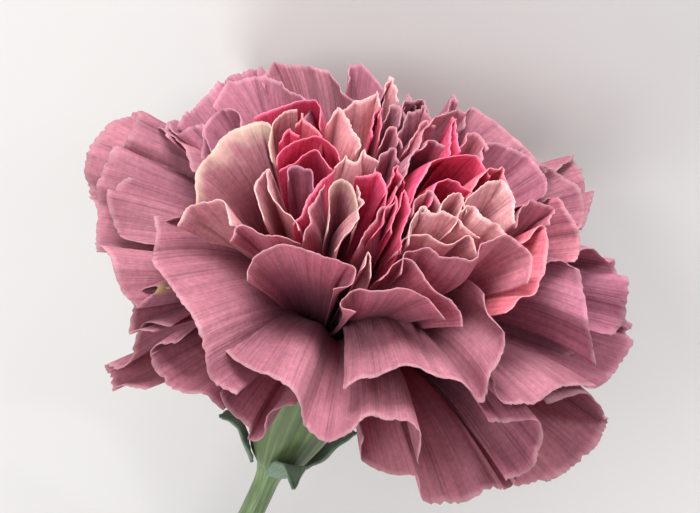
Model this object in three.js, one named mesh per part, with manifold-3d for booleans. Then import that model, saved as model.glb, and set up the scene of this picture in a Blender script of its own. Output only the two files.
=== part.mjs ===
// A cut double carnation lying on its side: a full bloom of ruffled petals, its toothed calyx with
// four bracts, and a short stem with one swollen node and a pair of narrow leaves.
// Millimetres, +Z up, standing on z = 0 with the origin under the middle of its box.
// The bloom's face looks towards -Y and the stem runs back towards +Y.
import * as THREE from "three";
import { mergeVertices } from "three/addons/utils/BufferGeometryUtils.js";
import Module from "manifold-3d";

const wasm = await Module();
wasm.setup();

// ---------------------------------------------------------------- driving dimensions
const bloomRadius = 40; // from the bloom's axis to the edge of a guard petal
const bloomHeight = 33; // from the throat to the top of the mound, along the axis
const petalThickness = 0.6;
const petalClearance = 0.35; // free space kept between one petal and the next
const throatDepth = 5; // from the throat down to the mouth of the calyx
const clawRingRadius = 5.4; // ring on which the outermost petals leave the calyx
const clawWidth = 1.6;
const waist = 0.32; // how soon a petal spreads from its claw: 0.5 spreads evenly, less spreads late

const calyxLength = 25;
const calyxMouthRadius = 7.2;
const calyxBellyRadius = 7.6;
const calyxFootRadius = 3.2;
const calyxWall = 0.8; // at its teeth
const calyxToothLength = 4;
const calyxTeeth = 5;

const bractLength = 10;
const bractWidth = 5;
const bractThickness = 0.7;

const stemLength = 112;
const stemRadius = 1.8;
const stemNodeRadius = 2.7;
const stemNodePlace = 64; // from the calyx's foot to the node
const leafLength = 46;
const leafWidth = 4.6;
const leafThickness = 0.8;
const joinGap = 0.35; // between the calyx, the stem, the bracts and the leaves

const axisLean = 22; // degrees, the bloom's axis to the right of straight up in its face view
const axisTip = 38; // degrees, the bloom's axis out of the plane of its face view
const restTilt = 10; // degrees, the bloom's axis above the surface it lies on

// ---------------------------------------------------------------- frames
// The bloom is shaped in its face view: x to the right, y up and z out towards the viewer, with the
// throat at the origin. The petals radiate from the throat round the bloom's axis.
const rad = THREE.MathUtils.degToRad;
const vec = (x, y, z) => new THREE.Vector3(x, y, z);
const axis = vec(
  Math.sin(rad(axisLean)) * Math.cos(rad(axisTip)),
  Math.cos(rad(axisLean)) * Math.cos(rad(axisTip)),
  Math.sin(rad(axisTip)),
);
const sideways = vec(1, 0, 0).projectOnPlane(axis).normalize();
const rearward = axis.clone().cross(sideways).normalize();

// Row frame directions, written in the face view: up leans back from the viewer so that the bloom's
// axis ends up restTilt above level.
const axisInFace = vec(axis.x, axis.y, 0).normalize();
const upTurn = rad(90 - axisTip - (90 - restTilt));
const rowZ = vec(0, 0, Math.cos(upTurn)).addScaledVector(axisInFace, Math.sin(upTurn));
const rowY = axis.clone().projectOnPlane(rowZ).normalize().negate();
const rowX = rowY.clone().cross(rowZ);
const faceToRow = new THREE.Matrix4().makeBasis(rowX, rowY, rowZ).transpose();

// ---------------------------------------------------------------- petals
// Each rim is a short list of points [x, y, depth] in the face view, drawn for a bloom of the sizes
// in drawn. The depth is how far the point lies behind the mound that the whole bloom fills.
const drawn = { radius: 40, height: 33, centre: vec(3.5, 0, 0) };

function rimPoint([x, y, depth]) {
  const flat = 1 / drawn.radius ** 2;
  const squash = 1 / drawn.height ** 2 - flat;
  const from = vec(x, y, 0).sub(drawn.centre);
  const along = from.dot(axis);
  const a = flat + squash * axis.z ** 2;
  const b = 2 * squash * along * axis.z;
  const c = flat * from.lengthSq() + squash * along ** 2 - 1;
  const z = (-b + Math.sqrt(Math.max(b * b - 4 * a * c, 0))) / (2 * a) - depth;
  return sized(vec(x, y, z));
}

// Stretches a drawn point to this bloom's radius and height.
function sized(point) {
  const height = point.dot(axis);
  return point
    .clone()
    .addScaledVector(axis, -height)
    .multiplyScalar(bloomRadius / drawn.radius)
    .addScaledVector(axis, (height * bloomHeight) / drawn.height);
}

// cup above 0 bulges a petal outwards, arch lifts its middle, folds are [count, depth, phase].
// from is the share of the petal that the calyx and the petals outside it have crowded out.
const guard = { cup: -0.2, arch: 9, folds: [2, 0.8, 0], from: 0.06 };
const middle = { cup: 0.06, arch: 3, folds: [1.5, 0.4, 0.3], from: 0.14 };
const heart = { cup: 0.1, arch: 0, folds: [1, 0.2, 0.6], from: 0.2 };

const petals = {
  guard_left: { ...guard, folds: [3.5, 1.3, 0.1], rim: [[-20, 20, 9], [-27, 28, 4], [-30, 24.5, 2],
    [-32.8, 20.5, 1], [-34, 14, 0], [-33, 8, 0], [-29, 3, 1], [-24, 3, 5]] },
  guard_left_rear: { ...guard, folds: [3, 0.9, 0.5], rim: [[-26, 26, 12], [-30, 28.4, 10],
    [-34, 26, 9], [-36.3, 20, 8], [-35, 15, 8], [-33, 10, 9]] },
  guard_left_low: { ...guard, rim: [[-23, 5, 5], [-26, 4.2, 4.5], [-28.3, 3, 4], [-27.8, 0.5, 4.5],
    [-28.4, -3, 5], [-25, -4, 7]] },
  guard_left_tip: { ...guard, rim: [[-23, -1, 7], [-28, -4, 6.5], [-32, -6.3, 6], [-32, -8.5, 6],
    [-30.3, -12, 6.5], [-26, -11, 7.5]] },
  guard_left_under: { ...guard, rim: [[-21, -2, 3.5], [-25, -4, 3], [-25.7, -6, 3], [-23, -9, 3.5],
    [-19, -12.2, 4], [-15, -13, 5]] },
  guard_low_left: { ...guard, rim: [[-16, -11, 5], [-13, -15, 5], [-11.5, -17, 5], [-8.5, -16, 5],
    [-5, -12.5, 6]] },
  guard_low_right: { ...guard, folds: [2.5, 1, 0], rim: [[3, -17, 6], [6, -21, 6], [10, -24, 6],
    [15, -26, 6], [20, -25.5, 6], [23, -23, 7]] },
  guard_right_roll: { ...guard, cup: -0.1, rim: [[21, -14, 2], [24, -13.2, 1.5], [27.5, -15.2, 1],
    [29.1, -18, 1], [27.5, -21, 1.5], [23.5, -22.8, 2.5]] },
  guard_right_fan: { ...guard, folds: [2.5, 1, 0.4], rim: [[30, -11.5, 5], [37.6, -12.4, 4],
    [38.8, -14.5, 4], [37, -18.5, 4], [33, -22, 4.5], [28, -24.4, 5], [25.5, -22.5, 6]] },
  guard_right_far: { ...guard, folds: [4, 0.7, 0], rim: [[40, 1.5, 13], [42.3, 0.8, 12],
    [43.2, -2, 12], [42.3, -6, 12], [39, -10, 13], [35, -11.5, 15]] },
  guard_right: { ...guard, folds: [3, 0.9, 0.3], rim: [[33, 8.5, 9], [36.5, 9.6, 8], [39, 8.5, 8],
    [40.8, 6, 8], [41.2, 2, 8], [41, -2, 9], [37, -4, 11]] },
  guard_right_rear: { ...guard, folds: [3, 0.8, 0], rim: [[29, 20.5, 11], [34.6, 23.3, 10],
    [35.6, 20, 10], [36.6, 17, 10], [37.2, 15, 10], [35, 12, 12]] },
  front_cup_rear: { ...middle, cup: 0.14, rim: [[5.4, 5.4, 0], [7.6, 7.3, -0.2], [11, 6.6, -0.3],
    [15, 4, -0.4], [17.2, 1, -0.3], [16.8, -1.4, 0]] },
  drape_left: { ...guard, arch: 8, folds: [1, 0.3, 0], rim: [[-22, 12.8, 2], [-25.2, 12.8, 1],
    [-24.6, 9.8, 0.3], [-25, 7.2, 0], [-22.5, 4, 0], [-20.3, 0, 0], [-18.6, -4.5, 0],
    [-16.5, -8.5, 0], [-13.4, -11, 1]] },
  drape_front: { ...guard, arch: 8, folds: [1, 0, 0], rim: [[-15.5, -4.5, 4], [-11, -8.4, 2],
    [-6, -10.6, 1], [-3.4, -15, 0], [-1, -17.9, -0.5], [2.2, -16.5, 0], [4.8, -13.8, 2],
    [8, -14.2, 2], [10, -17, 1.5], [11.5, -20, 2]] },
  drape_right: { ...guard, arch: 9, folds: [1, 0, 0], rim: [[12, -4.6, 7], [6, -5, 6.5],
    [1.4, -7, 4.5], [1.6, -10.3, 2], [4.5, -8, 1], [10, -7.9, 1], [15, -9.6, 0.5],
    [19.3, -11.8, 0], [21.5, -8, 0.5], [23.5, -2.5, 1], [21.3, 3, 3]] },
  curl_right: { ...guard, cup: -0.05, folds: [1, 0, 0], rim: [[21.5, -9, 3], [23, -12.3, 2],
    [26, -13, 1.5], [29.5, -11.3, 2], [33, -10, 3], [36, -10.5, 3.5]] },
  side_right: { ...guard, folds: [1.5, 0.5, 0.2], rim: [[28.8, 7.8, 4], [31, 8, 3.5],
    [33.8, 6.4, 3], [34.8, 2, 2.5], [35.8, -3, 2.5], [36.3, -7.3, 3]] },
  side_right_upper: { ...guard, cup: -0.1, arch: 6, folds: [1, 0.3, 0], rim: [[29.4, 15, 5.5],
    [31, 16.4, 5.2], [32.6, 14.2, 4.6], [33.9, 12, 4.2], [34.4, 9.6, 4.2], [33.6, 7.4, 4.6]] },
  rear_right_inner: { ...middle, cup: -0.05, arch: 5, rim: [[28.5, 20.8, 7.5], [31, 20.4, 7],
    [34, 18.2, 6.5], [35.6, 14.5, 7], [34.5, 11.5, 8]] },
  rear_left: { ...guard, cup: -0.12, arch: 6, folds: [3, 0.6, 0.3], rim: [[-23, 26, 12],
    [-20.5, 29.5, 12], [-17.5, 33, 12], [-14, 34.3, 12], [-10.8, 36, 12], [-8.5, 33, 13]] },
  rear_middle: { ...guard, cup: -0.1, arch: 5, folds: [2, 0.5, 0], rim: [[-11.5, 32, 9],
    [-9.5, 36, 9], [-5, 35.8, 8.5], [-1, 34.8, 8.5], [2.2, 31.8, 8.5], [3.8, 28, 9]] },
  rear_left_inner: { ...middle, cup: -0.05, arch: 5, folds: [2, 0.4, 0], rim: [[-17.6, 29, 6],
    [-16.3, 32.2, 6], [-13, 33.6, 6], [-10, 34, 6], [-7, 33, 6], [-4.3, 30.3, 6], [-3.6, 27, 7]] },
  left_wing: { ...middle, cup: -0.1, arch: 6, folds: [2, 0.4, 0.2], rim: [[-24.6, 24.5, 7],
    [-24, 27.4, 6.5], [-21.5, 26.2, 6], [-18.8, 26.5, 6], [-18, 22.5, 7]] },
  left_curl: { ...middle, rim: [[-18.2, 21, 4.5], [-18.3, 25.5, 4], [-16.8, 28.3, 3.5],
    [-14.6, 29.1, 3.5], [-13, 26, 5]] },
  left_cup: { ...middle, cup: 0.12, rim: [[-19.4, 14, 2], [-19.3, 19, 1], [-17.2, 23, 1],
    [-13.5, 25.8, 1], [-9.8, 27.1, 1], [-7.8, 25.2, 1.2], [-8.6, 21, 1.8]] },
  left_pale: { ...middle, cup: 0.1, rim: [[-11, 12.5, 0.6], [-10.8, 17, 0.4], [-8.8, 20, 0.4],
    [-7.6, 17.2, 0.5], [-6.2, 14, 0.6], [-4.6, 11.5, 1]] },
  front_left_fan: { ...middle, rim: [[-22, 12.2, 0], [-20.5, 14.8, 0], [-17.5, 16, 0],
    [-15, 15.4, 0], [-13.4, 12.6, 0.3]] },
  front_left_frill: { ...middle, rim: [[-14.6, 10.4, -0.5], [-13, 12, -0.6], [-10, 12.3, -0.6],
    [-7.5, 11.8, -0.5], [-4.6, 10.2, 0]] },
  front_left_cup: { ...middle, cup: 0.16, rim: [[-12, 4.8, -1], [-11, 8, -1.4], [-8, 9.4, -1.5],
    [-4.5, 9.9, -1.5], [-0.5, 9, -1.3], [2.8, 7.2, -1], [2.4, 4.8, -0.6], [0.4, 3, 0]] },
  front_cup: { ...middle, cup: 0.18, rim: [[1.9, 0, -1.4], [0.9, 2, -1.4], [2.2, 3.7, -1.2],
    [5, 4.4, -1.5], [9, 4.2, -1.6], [12.5, 3, -1.5], [15.3, 0, -1]] },
  front_pale: { ...middle, rim: [[8.8, 7.2, 0.4], [9.9, 9, 0.4], [12.5, 9.8, 0.4], [14.8, 8.7, 0.4],
    [18, 8, 0.4], [19.2, 5.5, 1]] },
  front_right_cup: { ...middle, cup: 0.16, folds: [1, 0.2, 0], rim: [[9, 7, -0.2],
    [12, 9.8, -0.5], [16.5, 8.6, -0.8], [19.6, 9.6, -1], [23, 10.8, -1], [26, 9.9, -1],
    [27.7, 7.2, -0.9], [26.4, 4.2, -0.6]] },
  coral_edge: { ...middle, cup: 0.1, rim: [[25.4, 10.4, 1.6], [29.2, 12.2, 1.6], [29.7, 9, 1.6],
    [29, 5.2, 1.4], [27, 2, 1.2], [23.2, 0.2, 1.4]] },
  heart_left_roll: { ...heart, rim: [[-11.3, 27.3, 3], [-8, 28.9, 3], [-4, 29.9, 3],
    [-1.8, 29.4, 3], [-1.4, 25.5, 3.4]] },
  heart_left_arc: { ...heart, rim: [[-8.1, 20.6, 1.6], [-6.8, 22.9, 1.4], [-4.4, 24.5, 1.4],
    [-2.2, 24.7, 1.4], [0.2, 23, 1.4], [1.3, 21.2, 1.6]] },
  heart_left_ball: { ...heart, cup: 0.14, rim: [[-6.9, 18.4, 1.9], [-6.2, 20.2, 1.8],
    [-4.4, 20.4, 1.8], [-2.6, 19.6, 1.8], [-2.2, 17, 2]] },
  heart_bud: { ...heart, cup: 0.2, rim: [[-0.9, 12.6, 0.4], [-0.8, 16.5, 0], [0.8, 18.7, 0],
    [2.6, 18, 0], [3.6, 15.5, 0.2], [3.4, 12.6, 0.6]] },
  heart_middle_hot: { ...heart, rim: [[2.8, 19, 1.6], [4.4, 19.4, 1.5], [6.3, 19.5, 1.4],
    [7.6, 17, 1.4], [7.4, 14.2, 1.8]] },
  heart_middle_pale: { ...heart, rim: [[-1.3, 26.3, 1.6], [0.4, 28.8, 1.6], [2.6, 26.4, 1.6],
    [4.2, 23.6, 1.6], [3, 22, 2]] },
  heart_rear_tall: { ...middle, cup: 0, rim: [[0.4, 33, 9.5], [1.6, 35.5, 9.5], [3.3, 36, 9.5],
    [5.4, 35.4, 9.5], [6.6, 33, 9.5], [6.8, 29.5, 9.5]] },
  heart_right_wall: { ...heart, cup: 0.05, rim: [[9.6, 19.8, 1.8], [11, 22.8, 1.8],
    [12.4, 25.8, 1.9], [14.4, 28, 2.2], [16.6, 28.8, 2.8], [18.4, 28.4, 3.6]] },
  heart_right_bowl: { ...heart, cup: 0.2, rim: [[10, 14, 1.5], [11.2, 17.8, 1.4],
    [13.6, 21.1, 1.3], [17.1, 22.4, 1.3], [20.2, 21.6, 1.3], [21.6, 19, 1.5]] },
  heart_right_fold: { ...heart, cup: 0.2, rim: [[16.4, 12.8, 0.6], [18.2, 16, 0.4],
    [21, 18.7, 0.2], [23.3, 18.7, 0.2], [25, 16, 0.3], [25.2, 12.4, 0.5]] },
  rear_right_front: { ...middle, cup: 0.02, arch: 2, rim: [[20.2, 21.5, 3.6], [20.5, 24.2, 3.4],
    [24.5, 23.7, 3.2], [27.5, 21.9, 3.2], [30, 18.8, 3.2], [29.6, 15.6, 3.8]] },
  rear_right: { ...middle, cup: -0.04, arch: 4, rim: [[17.2, 27, 8], [18.9, 29.4, 7.5],
    [22, 27.9, 7], [25, 25.2, 6.5], [28.2, 22, 6.2], [30.2, 20, 6.2]] },
  heart_front_pleats: { ...heart, cup: 0.08, rim: [[10.2, 10.6, 1], [10.9, 13.8, 0.8],
    [12.4, 14.4, 0.8], [15.7, 14, 0.8], [18, 12.2, 0.8], [20, 10.8, 1]] },
};

// Rear guards, which the bloom lies on: [bearing, half width] in degrees round the axis, then the
// drawn radius and height of the rim. Bearing 0 is sideways, and 90 is rearward.
const rearGuards = {
  under_left: [152, 24, 38.5, 4],
  under_rear_left: [113, 20, 41.9, 2],
  under_rear: [86, 19, 33.5, 6],
  under_rear_right: [58, 20, 37.2, 2],
  under_right: [22, 18, 38, 3],
};
const rearGuardPoints = 6;
const rearGuardDip = 0.16; // how much nearer the throat the ends of a rear guard's rim are
const rearPetals = {};
for (const [name, [bearing, halfWidth, radius, height]] of Object.entries(rearGuards)) {
  const ends = [];
  for (let i = 0; i < rearGuardPoints; i++) {
    const across = (2 * i) / (rearGuardPoints - 1) - 1;
    const turn = rad(bearing - across * halfWidth);
    const reach = radius * (1 - rearGuardDip * across ** 2);
    ends.push(
      sized(
        sideways.clone().multiplyScalar(Math.cos(turn) * reach)
          .addScaledVector(rearward, Math.sin(turn) * reach)
          .addScaledVector(axis, height),
      ),
    );
  }
  rearPetals[name] = { ...guard, ends, folds: [2.5, 1.1, 0.2] };
}

// A petal is a fan of curves from its claw in the calyx, over a middle point, out to its rim.
function petalGrid(petal, acrossSteps, outSteps) {
  const rim = new THREE.CatmullRomCurve3(petal.ends ?? petal.rim.map(rimPoint), false, "catmullrom");
  const mean = vec(0, 0, 0);
  const samples = 12;
  for (let i = 0; i <= samples; i++) mean.add(rim.getPoint(i / samples));
  mean.divideScalar(samples + 1).projectOnPlane(axis);
  const outwards = mean.clone().normalize();
  const across = axis.clone().cross(outwards);
  if (across.dot(rim.getPoint(1).sub(rim.getPoint(0))) < 0) across.negate();
  const claw = outwards.clone().multiplyScalar((clawRingRadius * mean.length()) / bloomRadius)
    .addScaledVector(axis, -throatDepth);
  const grid = [];
  for (let i = 0; i <= acrossSteps; i++) {
    const u = i / acrossSteps;
    const end = rim.getPoint(u);
    const bend = outwards.clone().multiplyScalar((0.5 + petal.cup) * end.dot(outwards))
      .addScaledVector(across, waist * end.dot(across))
      .addScaledVector(axis, 0.5 * end.dot(axis) + petal.arch);
    const start = claw.clone().addScaledVector(across, (u - 0.5) * clawWidth);
    const column = [];
    for (let j = 0; j <= outSteps; j++) {
      const v = petal.from + ((1 - petal.from) * j) / outSteps;
      column.push(
        start.clone().multiplyScalar((1 - v) ** 2)
          .addScaledVector(bend, 2 * v * (1 - v))
          .addScaledVector(end, v * v),
      );
    }
    grid.push(column);
  }
  const [count, depth, phase] = petal.folds;
  const normals = gridNormals(grid);
  grid.forEach((column, i) =>
    column.forEach((point, j) => {
      const v = j / outSteps;
      const wave = Math.sin(2 * Math.PI * ((count * i) / acrossSteps + phase));
      point.addScaledVector(normals[i][j], depth * wave * v * v);
    }),
  );
  return grid;
}

function gridNormals(grid) {
  const last = grid.length - 1;
  return grid.map((column, i) =>
    column.map((_, j) => {
      const along = grid[Math.min(i + 1, last)][j].clone().sub(grid[Math.max(i - 1, 0)][j]);
      const top = column.length - 1;
      const out = column[Math.min(j + 1, top)].clone().sub(column[Math.max(j - 1, 0)]);
      return along.cross(out).normalize();
    }),
  );
}

// Moves the edges of a grid outwards by a margin.
function widened(grid, margin) {
  const grown = grid.map((column) => column.map((point) => point.clone()));
  const last = grid.length - 1;
  const top = grid[0].length - 1;
  const push = (i, j, nextI, nextJ) =>
    grown[i][j].addScaledVector(grid[i][j].clone().sub(grid[nextI][nextJ]).normalize(), margin);
  for (let j = 0; j <= top; j++) {
    push(0, j, 1, j);
    push(last, j, last - 1, j);
  }
  for (let i = 0; i <= last; i++) {
    push(i, 0, i, 1);
    push(i, top, i, top - 1);
  }
  return grown;
}

// A grid of points becomes a closed sheet: two skins, thickness apart, joined round the edge.
function sheet(grid, thickness, normals = gridNormals(grid)) {
  const columns = grid.length;
  const rows = grid[0].length;
  const positions = [];
  for (const side of [0.5, -0.5])
    grid.forEach((column, i) =>
      column.forEach((point, j) =>
        positions.push(...point.clone().addScaledVector(normals[i][j], side * thickness)),
      ),
    );
  const upper = (i, j) => i * rows + j;
  const lower = (i, j) => columns * rows + upper(i, j);
  const faces = [];
  const quad = (a, b, c, d) => faces.push(a, b, c, a, c, d);
  for (let i = 0; i < columns - 1; i++)
    for (let j = 0; j < rows - 1; j++) {
      quad(upper(i, j), upper(i + 1, j), upper(i + 1, j + 1), upper(i, j + 1));
      quad(lower(i, j), lower(i, j + 1), lower(i + 1, j + 1), lower(i + 1, j));
    }
  for (let i = 0; i < columns - 1; i++) {
    quad(upper(i, 0), lower(i, 0), lower(i + 1, 0), upper(i + 1, 0));
    quad(upper(i + 1, rows - 1), lower(i + 1, rows - 1), lower(i, rows - 1), upper(i, rows - 1));
  }
  for (let j = 0; j < rows - 1; j++) {
    quad(upper(0, j + 1), lower(0, j + 1), lower(0, j), upper(0, j));
    quad(upper(columns - 1, j), lower(columns - 1, j), lower(columns - 1, j + 1), upper(columns - 1, j + 1));
  }
  return indexed(positions, faces);
}

function indexed(positions, faces) {
  return new THREE.BufferGeometry()
    .setAttribute("position", new THREE.BufferAttribute(new Float32Array(positions), 3))
    .setIndex(faces);
}

// Rings of points, one list for each ring, become a closed body with a cap at each end.
function rings(list) {
  const sides = list[0].length;
  const positions = list.flat().flatMap((p) => [...p]);
  const faces = [];
  for (let k = 0; k < list.length - 1; k++)
    for (let s = 0; s < sides; s++) {
      const next = (s + 1) % sides;
      const [a, b, c, d] = [k * sides + s, k * sides + next, (k + 1) * sides + next, (k + 1) * sides + s];
      faces.push(a, b, c, a, c, d);
    }
  for (const [k, flip] of [[0, true], [list.length - 1, false]]) {
    const centre = positions.length / 3;
    const middlePoint = list[k].reduce((sum, p) => sum.add(p), vec(0, 0, 0)).divideScalar(sides);
    positions.push(...middlePoint);
    for (let s = 0; s < sides; s++) {
      const pair = [k * sides + s, k * sides + ((s + 1) % sides)];
      if (flip) pair.reverse();
      faces.push(centre, ...pair);
    }
  }
  return indexed(positions, faces);
}

// ---------------------------------------------------------------- joining and cutting
function toSolid(geometry) {
  return new wasm.Manifold(
    new wasm.Mesh({
      numProp: 3,
      vertProperties: geometry.attributes.position.array,
      triVerts: new Uint32Array(geometry.index.array),
    }),
  );
}

function toGeometry(solid) {
  const mesh = solid.getMesh();
  return indexed(mesh.vertProperties, Array.from(mesh.triVerts));
}

const largest = (solid) =>
  solid.decompose().reduce((best, body) => (body.volume() > best.volume() ? body : best));

// Every edge of a closed surface belongs to two faces, even where points share a place.
function isClosed(geometry) {
  const position = geometry.attributes.position;
  const places = Array.from({ length: position.count }, (_, i) =>
    vec(0, 0, 0).fromBufferAttribute(position, i).toArray().map((value) => value.toFixed(3)).join(),
  );
  const uses = new Map();
  const corners = geometry.index.array;
  for (let i = 0; i < corners.length; i++) {
    const next = i % 3 === 2 ? i - 2 : i + 1;
    const edge = [places[corners[i]], places[corners[next]]].sort().join();
    uses.set(edge, (uses.get(edge) ?? 0) + 1);
  }
  return [...uses.values()].every((count) => count === 2);
}

// Closes up the slivers that a cut left, and keeps the biggest piece of what remains.
const sliverSizes = [0.01, 0.014, 0.02, 0.027, 0.035, 0.05];
function tidied(solid) {
  let geometry;
  for (const sliver of sliverSizes) {
    const trimmed = toGeometry(largest(solid).simplify(sliver));
    const position = trimmed.attributes.position;
    position.array.forEach((value, i) => {
      position.array[i] = Math.round(value / sliver) * sliver;
    });
    geometry = toGeometry(largest(toSolid(mergeVertices(trimmed, sliver / 2))));
    if (isClosed(geometry)) break;
  }
  return geometry;
}

// ---------------------------------------------------------------- calyx and bracts
const calyxSides = 20;
const calyxFoot = -throatDepth - calyxLength; // its height along the axis
// Side of the calyx from its foot up to its mouth: [share of the length, radius].
const calyxSide = [
  [0.12, calyxFootRadius * 1.5], [0.45, calyxBellyRadius * 0.92], [0.75, calyxBellyRadius],
  [1, calyxMouthRadius],
];
function calyx(grow = 0) {
  const ring = (height, radius, rise = () => 0) =>
    Array.from({ length: calyxSides }, (_, s) => {
      const turn = (2 * Math.PI * s) / calyxSides;
      return sideways.clone().multiplyScalar(Math.cos(turn) * radius)
        .addScaledVector(rearward, Math.sin(turn) * radius)
        .addScaledVector(axis, height + rise(s));
    });
  const perTooth = calyxSides / calyxTeeth;
  const tooth = (s) =>
    calyxToothLength * (1 - Math.abs(((s % perTooth) / perTooth) * 2 - 1));
  const mouth = calyxFoot + calyxLength;
  return rings([
    ring(calyxFoot - grow, calyxFootRadius + grow),
    ...calyxSide.map(([share, radius]) => ring(calyxFoot + share * calyxLength, radius + grow)),
    ring(mouth + grow, calyxMouthRadius + grow, tooth),
    ring(mouth + grow, calyxMouthRadius - calyxWall - grow, tooth),
    ring(mouth - joinGap + grow, calyxMouthRadius - calyxWall - grow),
  ]);
}

// A leaf-shaped grid along a path of points: its width tapers to a tip, with a shallow keel.
function bladeGrid(path, side, width, keel, steps, acrossSteps) {
  const curve = new THREE.CatmullRomCurve3(path, false, "catmullrom");
  const grid = [];
  for (let i = 0; i <= acrossSteps; i++) {
    const u = (2 * i) / acrossSteps - 1;
    const column = [];
    for (let j = 0; j <= steps; j++) {
      const v = j / steps;
      const point = curve.getPoint(v);
      const tangent = curve.getTangent(v);
      const out = side.clone().projectOnPlane(tangent).normalize();
      const up = out.clone().cross(tangent).normalize();
      const half = (width / 2) * Math.max(0.12, Math.sin(Math.PI * (0.22 + 0.74 * v)));
      column.push(point.addScaledVector(out, u * half).addScaledVector(up, keel * u * u * half));
    }
    grid.push(column);
  }
  return grid;
}

// Bracts hug the foot of the calyx and turn their tips outwards: [bearing, curl].
const bracts = {
  bract_left: [190, 0.75],
  bract_front: [275, 1.15],
  bract_right: [0, 0.45],
  bract_rear: [95, 0.4],
};
const bractEase = 0.2; // how far the foot of a bract stands off the calyx besides the join gap
function bract(bearing, curl) {
  const turn = rad(bearing);
  const outwards = sideways.clone().multiplyScalar(Math.cos(turn))
    .addScaledVector(rearward, Math.sin(turn));
  const clear = bractThickness / 2 + joinGap;
  const at = (radius, height) =>
    outwards.clone().multiplyScalar(radius + clear).addScaledVector(axis, calyxFoot + height);
  const [[, lowRadius], [, waistRadius]] = calyxSide;
  const path = [
    at(calyxFootRadius + bractEase, bractEase),
    at(lowRadius + 2 * bractEase, 0.3 * bractLength),
    at(waistRadius + curl, 0.7 * bractLength),
    at(calyxBellyRadius + 3.4 * curl, (1 - 0.35 * curl) * bractLength),
  ];
  return sheet(bladeGrid(path, axis.clone().cross(outwards), bractWidth, -0.18, 5, 4), bractThickness);
}

// ---------------------------------------------------------------- assembly
const colours = {
  guard: [0xa86a7c, 0.6], middle: [0xb87486, 0.6], heart: [0xd65a80, 0.55],
  calyx: [0x6f8a4a, 0.55], stem: [0x7c9560, 0.6], leaf: [0x6b8a5c, 0.6],
};
function node(name, geometry, finish) {
  const [color, roughness] = colours[finish];
  const mesh = new THREE.Mesh(
    geometry,
    new THREE.MeshStandardMaterial({ color, roughness, metalness: 0 }),
  );
  mesh.name = name;
  return mesh;
}

const bloom = new THREE.Group();
bloom.applyMatrix4(faceToRow);
bloom.add(node("calyx", calyx(), "calyx"));
for (const [name, [bearing, curl]] of Object.entries(bracts))
  bloom.add(node(name, bract(bearing, curl), "leaf"));

// Petals are placed one by one. Each is trimmed clear of the calyx and of those already there.
const placed = [toSolid(calyx(petalClearance))];
for (const [name, petal] of Object.entries({ ...rearPetals, ...petals })) {
  const points = petal.ends?.length ?? petal.rim.length;
  const acrossSteps = Math.max(6, Math.round(1.2 * points), Math.round(3 * petal.folds[0]));
  const outSteps = 4;
  const grid = petalGrid(petal, acrossSteps, outSteps);
  let solid = toSolid(sheet(grid, petalThickness));
  for (const other of placed) solid = largest(solid.subtract(other));
  const trimmed = tidied(solid);
  const finish = petal.arch > 4 ? "guard" : petal.arch > 0 ? "middle" : "heart";
  bloom.add(node(`petal_${name}`, trimmed, finish));
  const around = petalThickness + 2 * petalClearance;
  const cutter = toSolid(sheet(widened(grid, petalClearance), around, gridNormals(grid)));
  placed.push(cutter, toSolid(trimmed));
}

const flower = new THREE.Group();
flower.add(bloom);
flower.updateMatrixWorld(true);
const bloomBox = new THREE.Box3().setFromObject(bloom, true);
bloom.position.z = -bloomBox.min.z;
flower.updateMatrixWorld(true);

// ---------------------------------------------------------------- stem and leaves
// The stem leaves the calyx along its axis and sags until its cut end rests on the surface.
const toRow = (point) => point.clone().applyMatrix4(bloom.matrixWorld);
const stemTop = toRow(axis.clone().multiplyScalar(calyxFoot - joinGap));
const backwards = axis.clone().negate().transformDirection(bloom.matrixWorld);
const level = vec(backwards.x, backwards.y, 0).normalize();
const stemSwing = rad(-6); // to the side, seen from above
const endDirection = level.clone().applyAxisAngle(vec(0, 0, 1), stemSwing);
const drop = stemTop.z - stemRadius;
const reach = Math.sqrt(stemLength ** 2 - drop ** 2);
const stemEnd = stemTop.clone().addScaledVector(endDirection, reach).setZ(stemRadius);
const stemEase = 0.3; // share of the stem over which each end keeps its own direction
const stemCurve = new THREE.CubicBezierCurve3(
  stemTop,
  stemTop.clone().addScaledVector(backwards, stemLength * stemEase),
  stemEnd.clone().addScaledVector(endDirection, -stemLength * stemEase).setZ(stemRadius + stemEase * drop),
  stemEnd,
);

const stemSides = 10;
const stemSteps = 22;
const nodeShare = stemNodePlace / stemLength;
const swellSpread = 0.022; // of the node and of the neck under the calyx, as a share of the stem
const neckRadius = calyxFootRadius - 0.6;
function stemRadiusAt(share) {
  const swell = (place) => Math.exp(-(((share - place) / swellSpread) ** 2));
  return (
    stemRadius + (neckRadius - stemRadius) * swell(0) + (stemNodeRadius - stemRadius) * swell(nodeShare)
  );
}
function stem() {
  const shares = Array.from({ length: stemSteps + 1 }, (_, i) => i / stemSteps);
  const list = shares.map((share) => {
    const centre = stemCurve.getPointAt(share);
    const tangent = stemCurve.getTangentAt(share);
    const side = vec(0, 0, 1).cross(tangent).normalize();
    const up = tangent.clone().cross(side);
    return Array.from({ length: stemSides }, (_, s) => {
      const turn = (2 * Math.PI * s) / stemSides;
      return centre.clone()
        .addScaledVector(side, Math.cos(turn) * stemRadiusAt(share))
        .addScaledVector(up, Math.sin(turn) * stemRadiusAt(share));
    });
  });
  return rings(list);
}
flower.add(node("stem", stem(), "stem"));

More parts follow.
